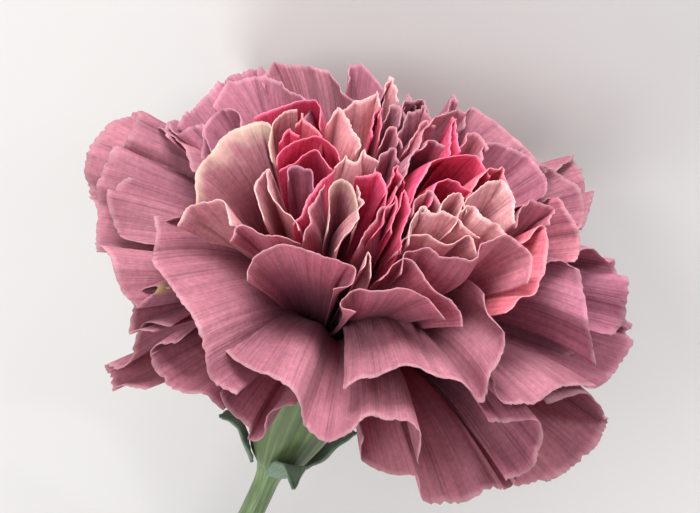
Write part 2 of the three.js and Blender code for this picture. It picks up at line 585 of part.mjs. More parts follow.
// One pair of narrow leaves stands on the node and arches away from the stem.
// Places along a leaf, as shares of its length: [towards the bloom, outwards, up].
const leafPath = [[0, 0, 0], [0.22, 0.16, 0.06], [0.42, 0.5, 0.06], [0.4, 0.92, -0.12]];
const nodeCentre = stemCurve.getPointAt(nodeShare);
const nodeTangent = stemCurve.getTangentAt(nodeShare);
const nodeSide = vec(0, 0, 1).cross(nodeTangent).normalize();
const nodeUp = nodeTangent.clone().cross(nodeSide);
function leaf(sign) {
  const start = stemNodeRadius + joinGap + leafThickness;
  const path = leafPath.map(([along, out, up]) =>
    nodeCentre.clone()
      .addScaledVector(nodeTangent, -along * leafLength)
      .addScaledVector(nodeSide, sign * (start + out * leafLength))
      .addScaledVector(nodeUp, up * leafLength),
  );
  const side = nodeUp.clone().cross(nodeSide).cross(nodeSide);
  return sheet(bladeGrid(path, side, leafWidth, 0.3, 9, 4), leafThickness);
}
flower.add(node("leaf_left", leaf(1), "leaf"));
flower.add(node("leaf_right", leaf(-1), "leaf"));

flower.updateMatrixWorld(true);
const box = new THREE.Box3().setFromObject(flower, true);
flower.position.set(-(box.min.x + box.max.x) / 2, -(box.min.y + box.max.y) / 2, -box.min.z);

export default flower;
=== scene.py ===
import math

import bpy
import numpy as np
from mathutils import Matrix, Vector


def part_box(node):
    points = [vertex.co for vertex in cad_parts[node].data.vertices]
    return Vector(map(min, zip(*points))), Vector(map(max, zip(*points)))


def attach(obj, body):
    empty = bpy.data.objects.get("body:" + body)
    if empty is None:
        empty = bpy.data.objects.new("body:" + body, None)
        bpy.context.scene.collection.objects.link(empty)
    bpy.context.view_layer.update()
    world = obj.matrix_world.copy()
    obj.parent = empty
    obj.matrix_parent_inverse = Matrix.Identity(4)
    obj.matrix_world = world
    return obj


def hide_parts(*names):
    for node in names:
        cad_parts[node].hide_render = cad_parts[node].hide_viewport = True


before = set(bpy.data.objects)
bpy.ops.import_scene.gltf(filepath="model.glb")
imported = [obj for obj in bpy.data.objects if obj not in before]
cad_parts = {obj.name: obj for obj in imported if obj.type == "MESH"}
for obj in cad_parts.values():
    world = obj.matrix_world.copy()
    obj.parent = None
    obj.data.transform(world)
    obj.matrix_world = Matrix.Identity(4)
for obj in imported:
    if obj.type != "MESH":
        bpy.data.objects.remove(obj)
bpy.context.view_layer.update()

# The petals are drawn in the face view: x right, y up and z towards the viewer, from the bloom's throat.
bloom = {
    "radius": 40.0,  # of the mound that the petals' rims make
    "height": 33.0,
    "throatDepth": 5.0,  # from the throat down to the mouth of the calyx
    "clawRing": 5.4,  # radius at which an outer petal's claw enters the calyx
    "clawWidth": 2.2,
    "lean": 22.0,  # degrees, the bloom's axis to the right of up in its face view
    "tip": 38.0,  # degrees, the axis out of the plane of the face view
    "restTilt": 10.0,  # degrees, the axis above the floor
    "drawnCentre": (3.5, 0, 0),  # of the mound, from the throat
}


def unit(v):
    return v / np.linalg.norm(v)


def along(v, axis):
    return (v @ axis)[..., None] * axis


lean, tip = math.radians(bloom["lean"]), math.radians(bloom["tip"])
axis = np.array([math.sin(lean) * math.cos(tip), math.cos(lean) * math.cos(tip), math.sin(tip)])
sideways = unit(np.array([1.0, 0, 0]) - axis[0] * axis)
rearward = np.cross(axis, sideways)
upTurn = math.radians(bloom["restTilt"] - bloom["tip"])
rowZ = np.array([math.sin(lean) * math.sin(upTurn), math.cos(lean) * math.sin(upTurn), math.cos(upTurn)])
rowY = -unit(axis - (axis @ rowZ) * rowZ)
rowX = np.cross(rowY, rowZ)
faceToRow = np.array([rowX, rowY, rowZ])  # the row is the part's own frame: y along the stem, z up

# Uniform Catmull-Rom through the points, with t from 0 to 1.
def spline(points, t):
    points = np.asarray(points, float)
    ends = np.array([2 * points[0] - points[1], *points, 2 * points[-1] - points[-2]])
    span = len(points) - 1
    place = np.clip(np.asarray(t, float) * span, 0, span)
    k = np.minimum(place.astype(int), span - 1)
    f = (place - k)[..., None]
    a, b, c, d = ends[k], ends[k + 1], ends[k + 2], ends[k + 3]
    return b + 0.5 * f * (c - a + f * (2 * a - 5 * b + 4 * c - d + f * (3 * (b - c) + d - a)))


calyx = {
    "length": 25.0,
    "mouthRadius": 7.2,
    "bellyRadius": 7.6,
    "footRadius": 3.2,
    "innerShare": 0.86,  # the cup's inside against its outside
    "innerRows": 30,  # how far the inside is modelled, of 41 rows
    "footHole": 0.3,  # share of the foot that the stem's end hides
    "toothLength": 4.0,
    "teeth": 5,
    "ribs": 30,
    "ribDepth": 0.07,
}


def calyxSkin(sides, rows=None):
    foot = -bloom["throatDepth"] - calyx["length"]
    length, belly = calyx["length"], calyx["bellyRadius"]
    heights = foot + length * np.array([0, 0.12, 0.45, 0.75, 1])
    radii = np.array(
        [calyx["footRadius"], 1.5 * calyx["footRadius"], 0.92 * belly, belly, calyx["mouthRadius"]]
    )
    if rows:
        t = np.linspace(0, 4, rows)
        heights, radii = spline(np.column_stack([heights, radii, 0 * radii]), t / 4)[:, :2].T
    turn = 2 * math.pi * np.arange(sides) / sides
    perTooth = sides / calyx["teeth"]
    tooth = calyx["toothLength"] * (1 - np.abs((np.arange(sides) % perTooth) / perTooth * 2 - 1))
    spokes = np.cos(turn)[:, None] * sideways + np.sin(turn)[:, None] * rearward
    rings = [r * spokes + h * axis for h, r in zip(heights, radii)]
    rings.append(calyx["mouthRadius"] * spokes + (heights[-1] + tooth)[:, None] * axis)
    return np.array(rings), turn


# The CAD part stands on the floor over its own middle: the calyx tells where that puts the throat.
coarse = calyxSkin(20)[0].reshape(-1, 3) @ faceToRow.T
shift = 1000 * np.array(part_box("calyx")[0]) - coarse.min(axis=0)


def toRow(points):
    return (points @ faceToRow.T + shift) / 1000


# Rim points (x, y, depth behind the bloom's mound) of the face view become places in it.
def rimPoints(rim):
    rim = np.asarray(rim, float)
    flat = 1 / bloom["radius"] ** 2
    squash = 1 / bloom["height"] ** 2 - flat
    start = np.column_stack([rim[:, :2], np.zeros(len(rim))]) - bloom["drawnCentre"]
    lift = start @ axis
    a = flat + squash * axis[2] ** 2
    b = 2 * squash * lift * axis[2]
    c = flat * (start**2).sum(axis=1) + squash * lift**2 - 1
    z = (-b + np.sqrt(np.maximum(b * b - 4 * a * c, 0))) / (2 * a) - rim[:, 2]
    return np.column_stack([rim[:, :2], z])


def linear(code):
    parts = [int(code[i : i + 2], 16) / 255 for i in (1, 3, 5)]
    return (*[p / 12.92 if p <= 0.04045 else ((p + 0.055) / 1.055) ** 2.4 for p in parts], 1)


def newMaterial(name):
    m = bpy.data.materials.new(name)
    m.use_nodes = True
    m.node_tree.nodes.clear()
    return m


# Adds a node to a material, or to a tree of its own.
def addNode(m, kind, **values):
    n = getattr(m, "node_tree", m).nodes.new(kind)
    for key, value in values.items():
        if key.startswith("in_"):
            n.inputs[int(key[3:])].default_value = value
        else:
            setattr(n, key, value)
    return n


def link(m, source, target):
    getattr(m, "node_tree", m).links.new(source, target)


# A new node whose first input is the source.
def fed(m, source, kind, **values):
    n = addNode(m, kind, **values)
    link(m, source, n.inputs[0])
    return n


# Gives an input another node's socket, or a plain value.
def give(m, value, socket):
    if hasattr(value, "is_output"):
        link(m, value, socket)
    else:
        socket.default_value = value


def ramp(m, factor, stops):
    n = fed(m, factor, "ShaderNodeValToRGB")
    while len(n.color_ramp.elements) < len(stops):
        n.color_ramp.elements.new(0.5)
    for element, (place, code) in zip(n.color_ramp.elements, stops):
        element.position = place
        element.color = linear(code) if isinstance(code, str) else (code, code, code, 1)
    return n.outputs[0]


def mixed(m, factor, a, b, blend="MIX"):
    n = addNode(m, "ShaderNodeMix", data_type="RGBA", blend_type=blend)
    for value, index in ((factor, 0), (a, 6), (b, 7)):
        give(m, value, n.inputs[index])
    return n.outputs[2]


def stretched(m, source, scale):
    n = fed(m, source, "ShaderNodeMapping")
    n.inputs["Scale"].default_value = scale
    return n.outputs[0]


def noise(m, vector, scale, detail=3.0, roughness=0.5):
    n = addNode(m, "ShaderNodeTexNoise")
    n.inputs["Scale"].default_value = scale
    n.inputs["Detail"].default_value = detail
    n.inputs["Roughness"].default_value = roughness
    link(m, vector, n.inputs["Vector"])
    return n.outputs["Fac"]


def maths(m, operation, a, b):
    n = addNode(m, "ShaderNodeMath", operation=operation)
    give(m, a, n.inputs[0])
    give(m, b, n.inputs[1])
    return n.outputs[0]


def bumped(m, height, strength, distance):
    n = addNode(m, "ShaderNodeBump")
    n.inputs["Strength"].default_value = strength
    n.inputs["Distance"].default_value = distance
    link(m, height, n.inputs["Height"])
    return n.outputs[0]


def surfaced(m, inputs):
    shader = addNode(m, "ShaderNodeBsdfPrincipled")
    for label, value in inputs.items():
        give(m, value, shader.inputs[label])
    link(m, shader.outputs[0], addNode(m, "ShaderNodeOutputMaterial").inputs[0])
    return m


# Petal skin: velvety cells with fine veins that fan out from the claw, and a paler worn rim, which on the
# olive skin is widened into a painted highlight.
# The petal's own UV map holds millimetres across it in x, and 0 at the claw to 1 at the rim in y.
petalLook = {
    "veinsPerMm": 5.0,
    "pleatsPerMm": 0.7,
    "roughness": 0.66,
    "sheen": 0.16,
    "glow": 0.1,  # light that soaks through the thin sheet
    "relief": 0.00035,
    "sheenColour": "#f2bcc6",
    "bruise": "#a8925a",
    "bruiseFade": 300,  # per metre: a bruise ends at half of 1 / 300
}
# Rim points where the edge of a guard petal has dried to a yellow-brown bruise.
bruises = [(-32.2, 20.8, 1.2), (-26.2, -3.4, 6.6), (-28.8, -4.9, 6.6), (-23.6, 3.4, 4.8)]


# Claw, deep and body colour it outwards, tint its patches and rim a worn band along the last rimReach; a
# wide, strong band, as on the olive skin, is partly a painted highlight.
def petalMaterial(name, claw, deep, body, tint, rim, rimReach=0.018, rimShare=0.45, bruised=False):
    m = newMaterial(name)
    uv = addNode(m, "ShaderNodeUVMap", uv_map="petal")
    out = fed(m, uv.outputs[0], "ShaderNodeSeparateXYZ").outputs[1]
    place = addNode(m, "ShaderNodeTexCoord").outputs["Object"]
    colour = ramp(m, out, [(0.0, claw), (0.25, deep), (0.45, deep), (0.8, body), (1.0, body)])
    patches = ramp(m, noise(m, place, 90, 4), [(0.4, 0.0), (0.62, 1.0)])
    colour = mixed(m, maths(m, "MULTIPLY", patches, 0.6), colour, linear(tint))
    pleats = noise(m, stretched(m, uv.outputs[0], (petalLook["pleatsPerMm"], 1.2, 1)), 1.0, 2, 0.5)
    veins = noise(m, stretched(m, uv.outputs[0], (petalLook["veinsPerMm"], 3.0, 1)), 1.0, 4, 0.6)
    colour = mixed(m, 0.7, colour, ramp(m, pleats, [(0.3, 0.72), (0.5, 1.0), (0.7, 1.16)]), "MULTIPLY")
    colour = mixed(m, 0.8, colour, ramp(m, veins, [(0.34, 0.7), (0.48, 1.0), (0.66, 1.14)]), "MULTIPLY")
    grain = ramp(m, noise(m, place, 1500, 2), [(0.3, 0.82), (0.7, 1.14)])
    colour = mixed(m, 0.8, colour, grain, "MULTIPLY")
    edgeNoise = maths(m, "MULTIPLY", maths(m, "SUBTRACT", noise(m, place, 260, 3), 0.5), 2.5 * rimReach)
    edge = ramp(m, maths(m, "ADD", out, edgeNoise), [(1 - rimReach, 0.0), (1.0, 1.0)])
    colour = mixed(m, maths(m, "MULTIPLY", edge, rimShare), colour, linear(rim))
    spots = toRow(rimPoints(bruises)) if bruised else []
    for spot in spots:
        away = fed(m, place, "ShaderNodeVectorMath", operation="DISTANCE", in_1=tuple(spot))
        distance = maths(m, "MULTIPLY", away.outputs["Value"], petalLook["bruiseFade"])
        bruise = ramp(m, maths(m, "ADD", distance, edgeNoise), [(0.2, 0.75), (0.5, 0.0)])
        colour = mixed(m, bruise, colour, linear(petalLook["bruise"]))
    rough = ramp(m, veins, [(0.3, petalLook["roughness"] + 0.12), (0.7, petalLook["roughness"] - 0.1)])
    height = maths(m, "ADD", pleats, maths(m, "MULTIPLY", veins, 0.45))
    height = maths(m, "ADD", height, maths(m, "MULTIPLY", grain, 0.1))
    return surfaced(m, {
        "Base Color": colour,
        "Roughness": rough,
        "Sheen Weight": petalLook["sheen"],
        "Sheen Roughness": 0.4,
        "Sheen Tint": linear(petalLook["sheenColour"]),
        "Specular IOR Level": 0.2,
        "Subsurface Weight": petalLook["glow"],
        "Subsurface Radius": (1.0, 0.3, 0.32),  # red light travels furthest
        "Subsurface Scale": 0.001,
        "Normal": bumped(m, height, 0.8, petalLook["relief"]),
    })


# Carnation petal skins, from the dusty guards to the hot heart.
petalMaterials = {
    "dusty": petalMaterial(
        "dustyRosePetal", "#a89f78", "#70384a", "#a56a77", "#84495b", "#c49a9f", bruised=True
    ),
    "mauve": petalMaterial("mauvePetal", "#a89f78", "#73384d", "#aa6a7c", "#884c61", "#c69aa4"),
    "rose": petalMaterial("rosePetal", "#b4a882", "#853a54", "#b8707e", "#9a4f63", "#d0a0a4"),
    "hot": petalMaterial("hotPinkPetal", "#c49880", "#a81f45", "#dd5076", "#be2d56", "#e897a8"),
    "pale": petalMaterial("paleRosePetal", "#c8bc96", "#a8586a", "#d69c9f", "#bd7482", "#e2c0b6"),
    "coral": petalMaterial("coralRimPetal", "#c49c86", "#b0385a", "#d8707e", "#c0506a", "#e4a2a4"),
    # The olive skin's broad cream rim band (reach 0.11, share 0.7) is partly the paler rim and partly a
    # painted highlight on the lit edge of the domed cup.
    "olive": petalMaterial(
        "oliveTingedPetal", "#a89f78", "#7a4050", "#b0767e", "#8c5060", "#d2baa4", 0.11, 0.7
    ),
}


# Plant skin: waxy green with fine streaks along the piece's own UV map, and soft patches.
def plantMaterial(name, dark, body, pale, streakScale):
    m = newMaterial(name)
    place = addNode(m, "ShaderNodeTexCoord").outputs["Object"]
    uv = addNode(m, "ShaderNodeUVMap", uv_map="skin").outputs[0]
    fine = noise(m, stretched(m, uv, streakScale), 1.0, 4, 0.6)
    colour = ramp(m, fine, [(0.3, dark), (0.52, body), (0.75, pale)])
    patches = ramp(m, noise(m, place, 120, 3), [(0.4, 0.8), (0.65, 1.12)])
    colour = mixed(m, 0.7, colour, patches, "MULTIPLY")
    return surfaced(m, {
        "Base Color": colour,
        "Roughness": ramp(m, fine, [(0.3, 0.62), (0.7, 0.46)]),
        "Specular IOR Level": 0.35,
        "Sheen Weight": 0.15,
        "Normal": bumped(m, fine, 0.5, 0.0002),
    })


# The calyx's olive greens are darkened as painted shade, for the shade it sits in under the bloom.
calyxPaintedShadeMaterial = plantMaterial("calyxSkin", "#38481f", "#55693a", "#76854f", (40, 1.5, 1))
stemMaterial = plantMaterial("stemSkin", "#41572f", "#647b4b", "#879869", (30, 2.0, 1))
leafMaterial = plantMaterial("leafSkin", "#3c523c", "#5c735c", "#839880", (24, 1.2, 1))
print("materials made")


# A sheet from columns x rows x 3 points of the face view, in millimetres.
def gridMesh(name, points, uvName, uvs, closedAcross=False):
    columns, rows = points.shape[:2]
    index = np.arange(columns * rows).reshape(columns, rows)
    if closedAcross:
        index = np.vstack([index, index[:1]])
        around = uvs[-1:, :, :1] * columns / (columns - 1)
        uvs = np.concatenate([uvs, uvs[:1] + np.array([1.0, 0]) * around], axis=0)
    faces = np.stack([index[:-1, :-1], index[1:, :-1], index[1:, 1:], index[:-1, 1:]], axis=-1)
    faces = faces.reshape(-1, 4)
    corners = np.stack([uvs[:-1, :-1], uvs[1:, :-1], uvs[1:, 1:], uvs[:-1, 1:]], axis=2).reshape(-1, 2)
    mesh = bpy.data.meshes.new(name)
    mesh.from_pydata(toRow(points.reshape(-1, 3)), [], faces.tolist())
    mesh.uv_layers.new(name=uvName).data.foreach_set("uv", corners.astype(np.float32).ravel())
    mesh.polygons.foreach_set("use_smooth", np.ones(len(faces), dtype=bool))
    o = bpy.data.objects.new(name, mesh)
    bpy.context.collection.objects.link(o)
    return o


def finishPiece(o, material, slot, *nodes):
    if not o.data.materials:
        o.data.materials.append(material)
    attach(o, "root")
    if nodes:
        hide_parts(*nodes)


def thicken(o, thickness):
    shell = o.modifiers.new("thickness", "SOLIDIFY")
    shell.thickness = thickness / 1000
    shell.offset = 0


# A smooth random wave along places, from about -1 to 1.
def wander(rng, places, wavelength, parts=3):
    total = np.zeros_like(places)
    for k in range(parts):
        length = wavelength * rng.uniform(0.7, 1.5) / (1 + 0.5 * k)
        total += np.sin(2 * math.pi * (places / length + rng.random())) / (1 + k)
    return total / 1.5


# How far the rim is cut back: uneven notches between teeth, with smoother stretches.
def toothedRim(rng, places, width, depth):
    length = places[-1]
    knots, cuts, at, high = [], [], 0.0, False
    while at < length + width:
        knots.append(at)
        cuts.append(depth * (rng.uniform(0.0, 0.25) if high else rng.uniform(0.45, 1.0)))
        at += width * rng.uniform(0.3, 0.8)
        high = not high
    calm = np.clip(0.65 + 0.6 * wander(rng, places, 7), 0.15, 1)
    return calm * np.interp(places, knots, cuts)


def normalsOf(grid):
    u = np.gradient(grid, axis=0)
    v = np.gradient(grid, axis=1)
    n = np.cross(u, v)
    return n / np.maximum(np.linalg.norm(n, axis=-1, keepdims=True), 1e-9)


# Three families of petals. Cup and arch bend the sheet from claw to rim, waist narrows it on the way.
# Folds are count, height and phase, ruffle is height and wavelength, teeth are width and depth.
# Bulge is a share of the petal's chord, hollow below 0, and curl lifts the last of the rim.
guard = {
    "cup": -0.2, "arch": 9, "folds": (2, 0.8, 0), "ruffle": (1.2, 14), "curl": 0.8, "teeth": (1.1, 0.45),
    "waist": 0.5, "bulge": 0.03,
}
middle = {
    "cup": 0.06, "arch": 3, "folds": (1.5, 0.4, 0.3), "ruffle": (0.7, 12), "curl": 0.6, "teeth": (0.9, 0.4),
    "waist": 0.46, "bulge": 0.14,
}
heart = {
    "cup": 0.1, "arch": 0, "folds": (1, 0.2, 0.6), "ruffle": (0.3, 8), "curl": 0.4, "teeth": (0.8, 0.35),
    "waist": 0.42, "bulge": 0.26,
}
petals = {
    "guard_left": {**guard, "skin": "dusty", "folds": (3.5, 2.3, 0.1), "rim": [
        (-20, 20, 9), (-27, 28, 4), (-30, 24.5, 2), (-32.8, 20.5, 1), (-34, 14, 0), (-33, 8, 0),
        (-29, 3, 1), (-24, 3, 5),
    ]},
    "guard_left_rear": {**guard, "skin": "dusty", "folds": (3, 0.9, 0.5), "rim": [
        (-26, 26, 12), (-30, 28.4, 10), (-34, 26, 9), (-36.3, 20, 8), (-35, 15, 8), (-33, 10, 9),
    ]},
    "guard_left_low": {**guard, "skin": "dusty", "rim": [
        (-23, 5, 5), (-26, 4.2, 4.5), (-28.3, 3, 4), (-27.8, 0.5, 4.5), (-28.4, -3, 5), (-25, -4, 7),
    ]},
    "guard_left_tip": {**guard, "skin": "dusty", "rim": [
        (-23, -1, 7), (-28, -4, 6.5), (-32, -6.3, 6), (-32, -8.5, 6), (-30.3, -12, 6.5),
        (-26, -11, 7.5),
    ]},
    "guard_left_under": {**guard, "skin": "dusty", "rim": [
        (-21, -2, 3.5), (-25, -4, 3), (-25.7, -6, 3), (-23, -9, 3.5), (-19, -12.2, 4), (-15, -13, 5),
    ]},
    "guard_low_left": {**guard, "skin": "dusty", "rim": [
        (-16, -11, 5), (-13, -15, 5), (-11.5, -17, 5), (-8.5, -16, 5), (-5, -12.5, 6),
    ]},
    "guard_low_right": {**guard, "skin": "dusty", "folds": (2.5, 1, 0), "rim": [
        (3, -17, 6), (6, -21, 6), (10, -24, 6), (15, -26, 6), (20, -25.5, 6), (24, -24, 6.5),
        (26.5, -20.5, 7.5),
    ]},
    "guard_right_roll": {**guard, "skin": "dusty", "cup": -0.1, "rim": [
        (21, -14, 2), (24, -13.2, 1.5), (27.5, -15.2, 1), (29.1, -18, 1), (27.5, -21, 1.5),
        (23.5, -22.8, 2.5),
    ]},
    "guard_right_fan": {**guard, "skin": "dusty", "folds": (2.5, 1, 0.4), "rim": [
        (30, -11.5, 5), (37.6, -12.4, 4), (38.8, -14.5, 4), (37, -18.5, 4), (33, -22, 4.5),
        (28, -24.4, 5), (25.5, -22.5, 6),
    ]},
    "guard_right_far": {**guard, "skin": "mauve", "folds": (4, 0.7, 0), "rim": [
        (40, 1.5, 13), (42.3, 0.8, 12), (43.2, -2, 12), (42.3, -6, 12), (39, -10, 13), (35, -11.5, 15),
    ]},
    "guard_right": {**guard, "skin": "mauve", "folds": (3, 0.9, 0.3), "rim": [
        (33, 8.5, 9), (36.5, 9.6, 8), (39, 8.5, 8), (40.8, 6, 8), (41.2, 2, 8), (41, -2, 9),
        (37, -4, 11),
    ]},
    "guard_right_rear": {**guard, "skin": "dusty", "folds": (3, 0.8, 0), "rim": [
        (29, 20.5, 11), (34.6, 23.3, 10), (35.6, 20, 10), (36.6, 17, 10), (37.2, 15, 10), (35, 12, 12),
    ]},
    "front_cup_rear": {**middle, "skin": "rose", "cup": 0.14, "rim": [
        (5.4, 5.4, 0), (7.6, 7.3, -0.2), (11, 6.6, -0.3), (15, 4, -0.4), (17.2, 1, -0.3),
        (16.8, -1.4, 0),
    ]},
    "drape_left": {**guard, "skin": "dusty", "arch": 8, "folds": (1, 0.3, 0), "rim": [
        (-22, 12.8, 2), (-25.2, 12.8, 1), (-24.6, 9.8, 0.3), (-25, 7.2, 0), (-22.5, 4, 0),
        (-20.3, 0, 0),
        (-18.6, -4.5, 0), (-16.5, -8.5, 0), (-13.4, -11, 1),
    ]},
    "drape_front": {**guard, "skin": "dusty", "arch": 8, "folds": (1, 0, 0), "rim": [
        (-15.5, -4.5, 4), (-11, -8.4, 2), (-6, -10.6, 1), (-3.4, -15, 0), (-1, -17.9, -0.5),
        (2.2, -16.5, 0), (4.8, -13.8, 2), (8, -14.2, 2), (10, -17, 1.5), (11.5, -20, 2),
    ]},
    "drape_right": {**guard, "skin": "dusty", "arch": 9, "folds": (1, 0, 0), "rim": [
        (12, -4.6, 7), (6, -5, 6.5), (1.4, -7, 4.5), (1.6, -10.3, 2), (4.5, -8, 1), (10, -7.9, 1),
        (15, -9.6, 0.5), (19.3, -11.8, 0), (21.5, -8, 0.5), (23.5, -2.5, 1), (21.3, 3, 3),
    ]},
    "curl_right": {**guard, "skin": "dusty", "cup": -0.05, "folds": (1, 0, 0), "rim": [
        (21.5, -9, 3), (23, -12.3, 2), (26, -13, 1.5), (29.5, -11.3, 2), (33, -10, 3), (36, -10.5, 3.5),
    ]},
    "side_right": {**guard, "skin": "mauve", "folds": (1.5, 0.5, 0.2), "rim": [
        (28.8, 7.8, 4), (31, 8, 3.5), (33.8, 6.4, 3), (34.8, 2, 2.5), (35.8, -3, 2.5), (36.3, -7.3, 3),
    ]},
    "side_right_upper": {**guard, "skin": "rose", "cup": -0.1, "arch": 6, "folds": (1, 0.3, 0), "rim": [
        (29.4, 15, 5.5), (31, 16.4, 5.2), (32.6, 14.2, 4.6), (33.9, 12, 4.2), (34.4, 9.6, 4.2),
        (33.6, 7.4, 4.6),
    ]},
    "rear_right_inner": {**middle, "skin": "dusty", "cup": -0.05, "arch": 5, "rim": [
        (28.5, 20.8, 7.5), (31, 20.4, 7), (34, 18.2, 6.5), (35.6, 14.5, 7), (34.5, 11.5, 8),
    ]},
    "rear_left": {**guard, "skin": "mauve", "cup": -0.12, "arch": 6, "folds": (3, 0.6, 0.3), "rim": [
        (-23, 26, 12), (-20.5, 29.5, 12), (-17.5, 33, 12), (-14, 34.3, 12), (-10.8, 36, 12),
        (-8.5, 33, 13),
    ]},
    "rear_middle": {**guard, "skin": "dusty", "cup": -0.1, "arch": 5, "folds": (2, 0.5, 0), "rim": [
        (-11.5, 32, 9), (-9.5, 36, 9), (-5, 35.8, 8.5), (-1, 34.8, 8.5), (2.2, 31.8, 8.5), (3.8, 28, 9),
    ]},
    "rear_left_inner": {**middle, "skin": "mauve", "cup": -0.05, "arch": 5, "folds": (2, 0.4, 0), "rim": [
        (-17.6, 29, 6), (-16.3, 32.2, 6), (-13, 33.6, 6), (-10, 34, 6), (-7, 33, 6), (-4.3, 30.3, 6),
        (-3.6, 27, 7),
    ]},
    "left_wing": {**middle, "skin": "mauve", "cup": -0.1, "arch": 6, "folds": (2, 0.4, 0.2), "rim": [
        (-24.6, 24.5, 7), (-24, 27.4, 6.5), (-21.5, 26.2, 6), (-18.8, 26.5, 6), (-18, 22.5, 7),
    ]},
    "left_curl": {**middle, "skin": "mauve", "rim": [
        (-18.2, 21, 4.5), (-18.3, 25.5, 4), (-16.8, 28.3, 3.5), (-14.6, 29.1, 3.5), (-13, 26, 5),
    ]},
    "left_cup": {**middle, "skin": "olive", "cup": 0.12, "bulge": 0.22, "rim": [
        (-19.4, 14, 2), (-19.3, 19, 1), (-17.2, 23, 1), (-13.5, 25.8, 1), (-9.8, 27.1, 1),
        (-7.8, 25.2, 1.2), (-8.6, 21, 1.8),
    ]},
    "left_pale": {**middle, "skin": "pale", "cup": 0.1, "rim": [
        (-11, 12.5, 0.6), (-10.8, 17, 0.4), (-8.8, 20, 0.4), (-7.6, 17.2, 0.5), (-6.2, 14, 0.6),
        (-4.6, 11.5, 1),
    ]},
    "front_left_fan": {**middle, "skin": "pale", "bulge": 0.2, "rim": [
        (-22, 12.2, 0), (-20.5, 14.8, 0), (-17.5, 16, 0), (-15, 15.4, 0), (-13.4, 12.6, 0.3),
    ]},
    "front_left_frill": {**middle, "skin": "rose", "rim": [
        (-14.6, 10.4, -0.5), (-13, 12, -0.6), (-10, 12.3, -0.6), (-7.5, 11.8, -0.5), (-4.6, 10.2, 0),
    ]},
    "front_left_cup": {**middle, "skin": "rose", "cup": 0.16, "rim": [
        (-12, 4.8, -1), (-11, 8, -1.4), (-8, 9.4, -1.5), (-4.5, 9.9, -1.5), (-0.5, 9, -1.3),
        (2.8, 7.2, -1), (2.4, 4.8, -0.6), (0.4, 3, 0),
    ]},
    "front_cup": {**middle, "skin": "rose", "cup": 0.18, "rim": [
        (1.9, 0, -1.4), (0.9, 2, -1.4), (2.2, 3.7, -1.2), (5, 4.4, -1.5), (9, 4.2, -1.6),
        (12.5, 3, -1.5), (15.3, 0, -1),
    ]},
    "front_pale": {**middle, "skin": "pale", "rim": [
        (8.4, 8.6, 0.9), (9.6, 10.9, 0.8), (12.6, 11.4, 0.8), (15.4, 10.6, 0.8), (18.4, 10.8, 0.8),
        (20, 8, 1.4),
    ]},
    "front_right_cup": {**middle, "skin": "rose", "cup": 0.16, "folds": (1, 0.2, 0), "rim": [
        (8.6, 5.6, -0.2), (9.4, 8.8, -0.4), (12.2, 9.9, -0.5), (15.4, 8.9, -0.7), (18.2, 8.4, -0.9),
        (20, 9.9, -1), (23, 10.8, -1), (26, 9.9, -1), (27.7, 7.2, -0.9), (26.4, 4.2, -0.6),
    ]},
    "coral_edge": {**middle, "skin": "coral", "cup": 0.1, "rim": [
        (25.4, 10.4, 1.6), (29.2, 12.2, 1.6), (29.7, 9, 1.6), (29, 5.2, 1.4), (27, 2, 1.2),
        (23.2, 0.2, 1.4),
    ]},
    "heart_left_roll": {**heart, "bulge": -0.18, "skin": "hot", "rim": [
        (-11.3, 27.3, 3), (-8, 28.9, 3), (-4, 29.9, 3), (-1.8, 29.4, 3), (-1.4, 25.5, 3.4),
    ]},
    "heart_left_arc": {**heart, "bulge": -0.18, "skin": "hot", "rim": [
        (-8.1, 20.6, 1.6), (-6.8, 22.9, 1.4), (-4.4, 24.5, 1.4), (-2.2, 24.7, 1.4), (0.2, 23, 1.4),
        (1.3, 21.2, 1.6),
    ]},
    "heart_left_ball": {**heart, "skin": "mauve", "cup": 0.14, "rim": [
        (-6.9, 18.4, 1.9), (-6.2, 20.2, 1.8), (-4.4, 20.4, 1.8), (-2.6, 19.6, 1.8), (-2.2, 17, 2),
    ]},
    "heart_bud": {**heart, "skin": "olive", "cup": 0.2, "bulge": 0.4, "rim": [
        (-1.2, 11.4, 0.9), (-1, 15.2, 0.3), (-0.4, 17.5, 0), (1, 18.9, -0.2), (2.5, 18.2, 0),
        (3.5, 16, 0.3), (3.5, 13.2, 0.7), (2.7, 11.2, 1.1),
    ]},
    "heart_middle_hot": {**heart, "skin": "hot", "rim": [
        (2.8, 19, 1.6), (4.4, 19.4, 1.5), (6.3, 19.5, 1.4), (7.6, 17, 1.4), (7.4, 14.2, 1.8),
    ]},
    "heart_middle_pale": {**heart, "skin": "pale", "rim": [
        (-1.3, 26.3, 1.6), (0.4, 28.8, 1.6), (2.6, 26.4, 1.6), (4.2, 23.6, 1.6), (3, 22, 2),
    ]},
    "heart_rear_tall": {**middle, "skin": "mauve", "cup": 0, "rim": [
        (0.4, 33, 9.5), (1.6, 35.5, 9.5), (3.3, 36, 9.5), (5.4, 35.4, 9.5), (6.6, 33, 9.5),
        (6.8, 29.5, 9.5),
    ]},
    "heart_right_wall": {**heart, "bulge": -0.08, "skin": "rose", "cup": 0.05, "rim": [
        (9.6, 19.8, 1.8), (11, 22.8, 1.8), (12.4, 25.8, 1.9), (14.4, 28, 2.2), (16.6, 28.8, 2.8),
        (18.4, 28.4, 3.6),
    ]},
    "heart_right_bowl": {**heart, "bulge": -0.18, "skin": "hot", "cup": 0.2, "rim": [
        (10, 14, 1.5), (11.2, 17.8, 1.4), (13.6, 21.1, 1.3), (17.1, 22.4, 1.3), (20.2, 21.6, 1.3),
        (21.6, 19, 1.5),
    ]},
    "heart_right_fold": {**heart, "skin": "pale", "cup": 0.2, "rim": [
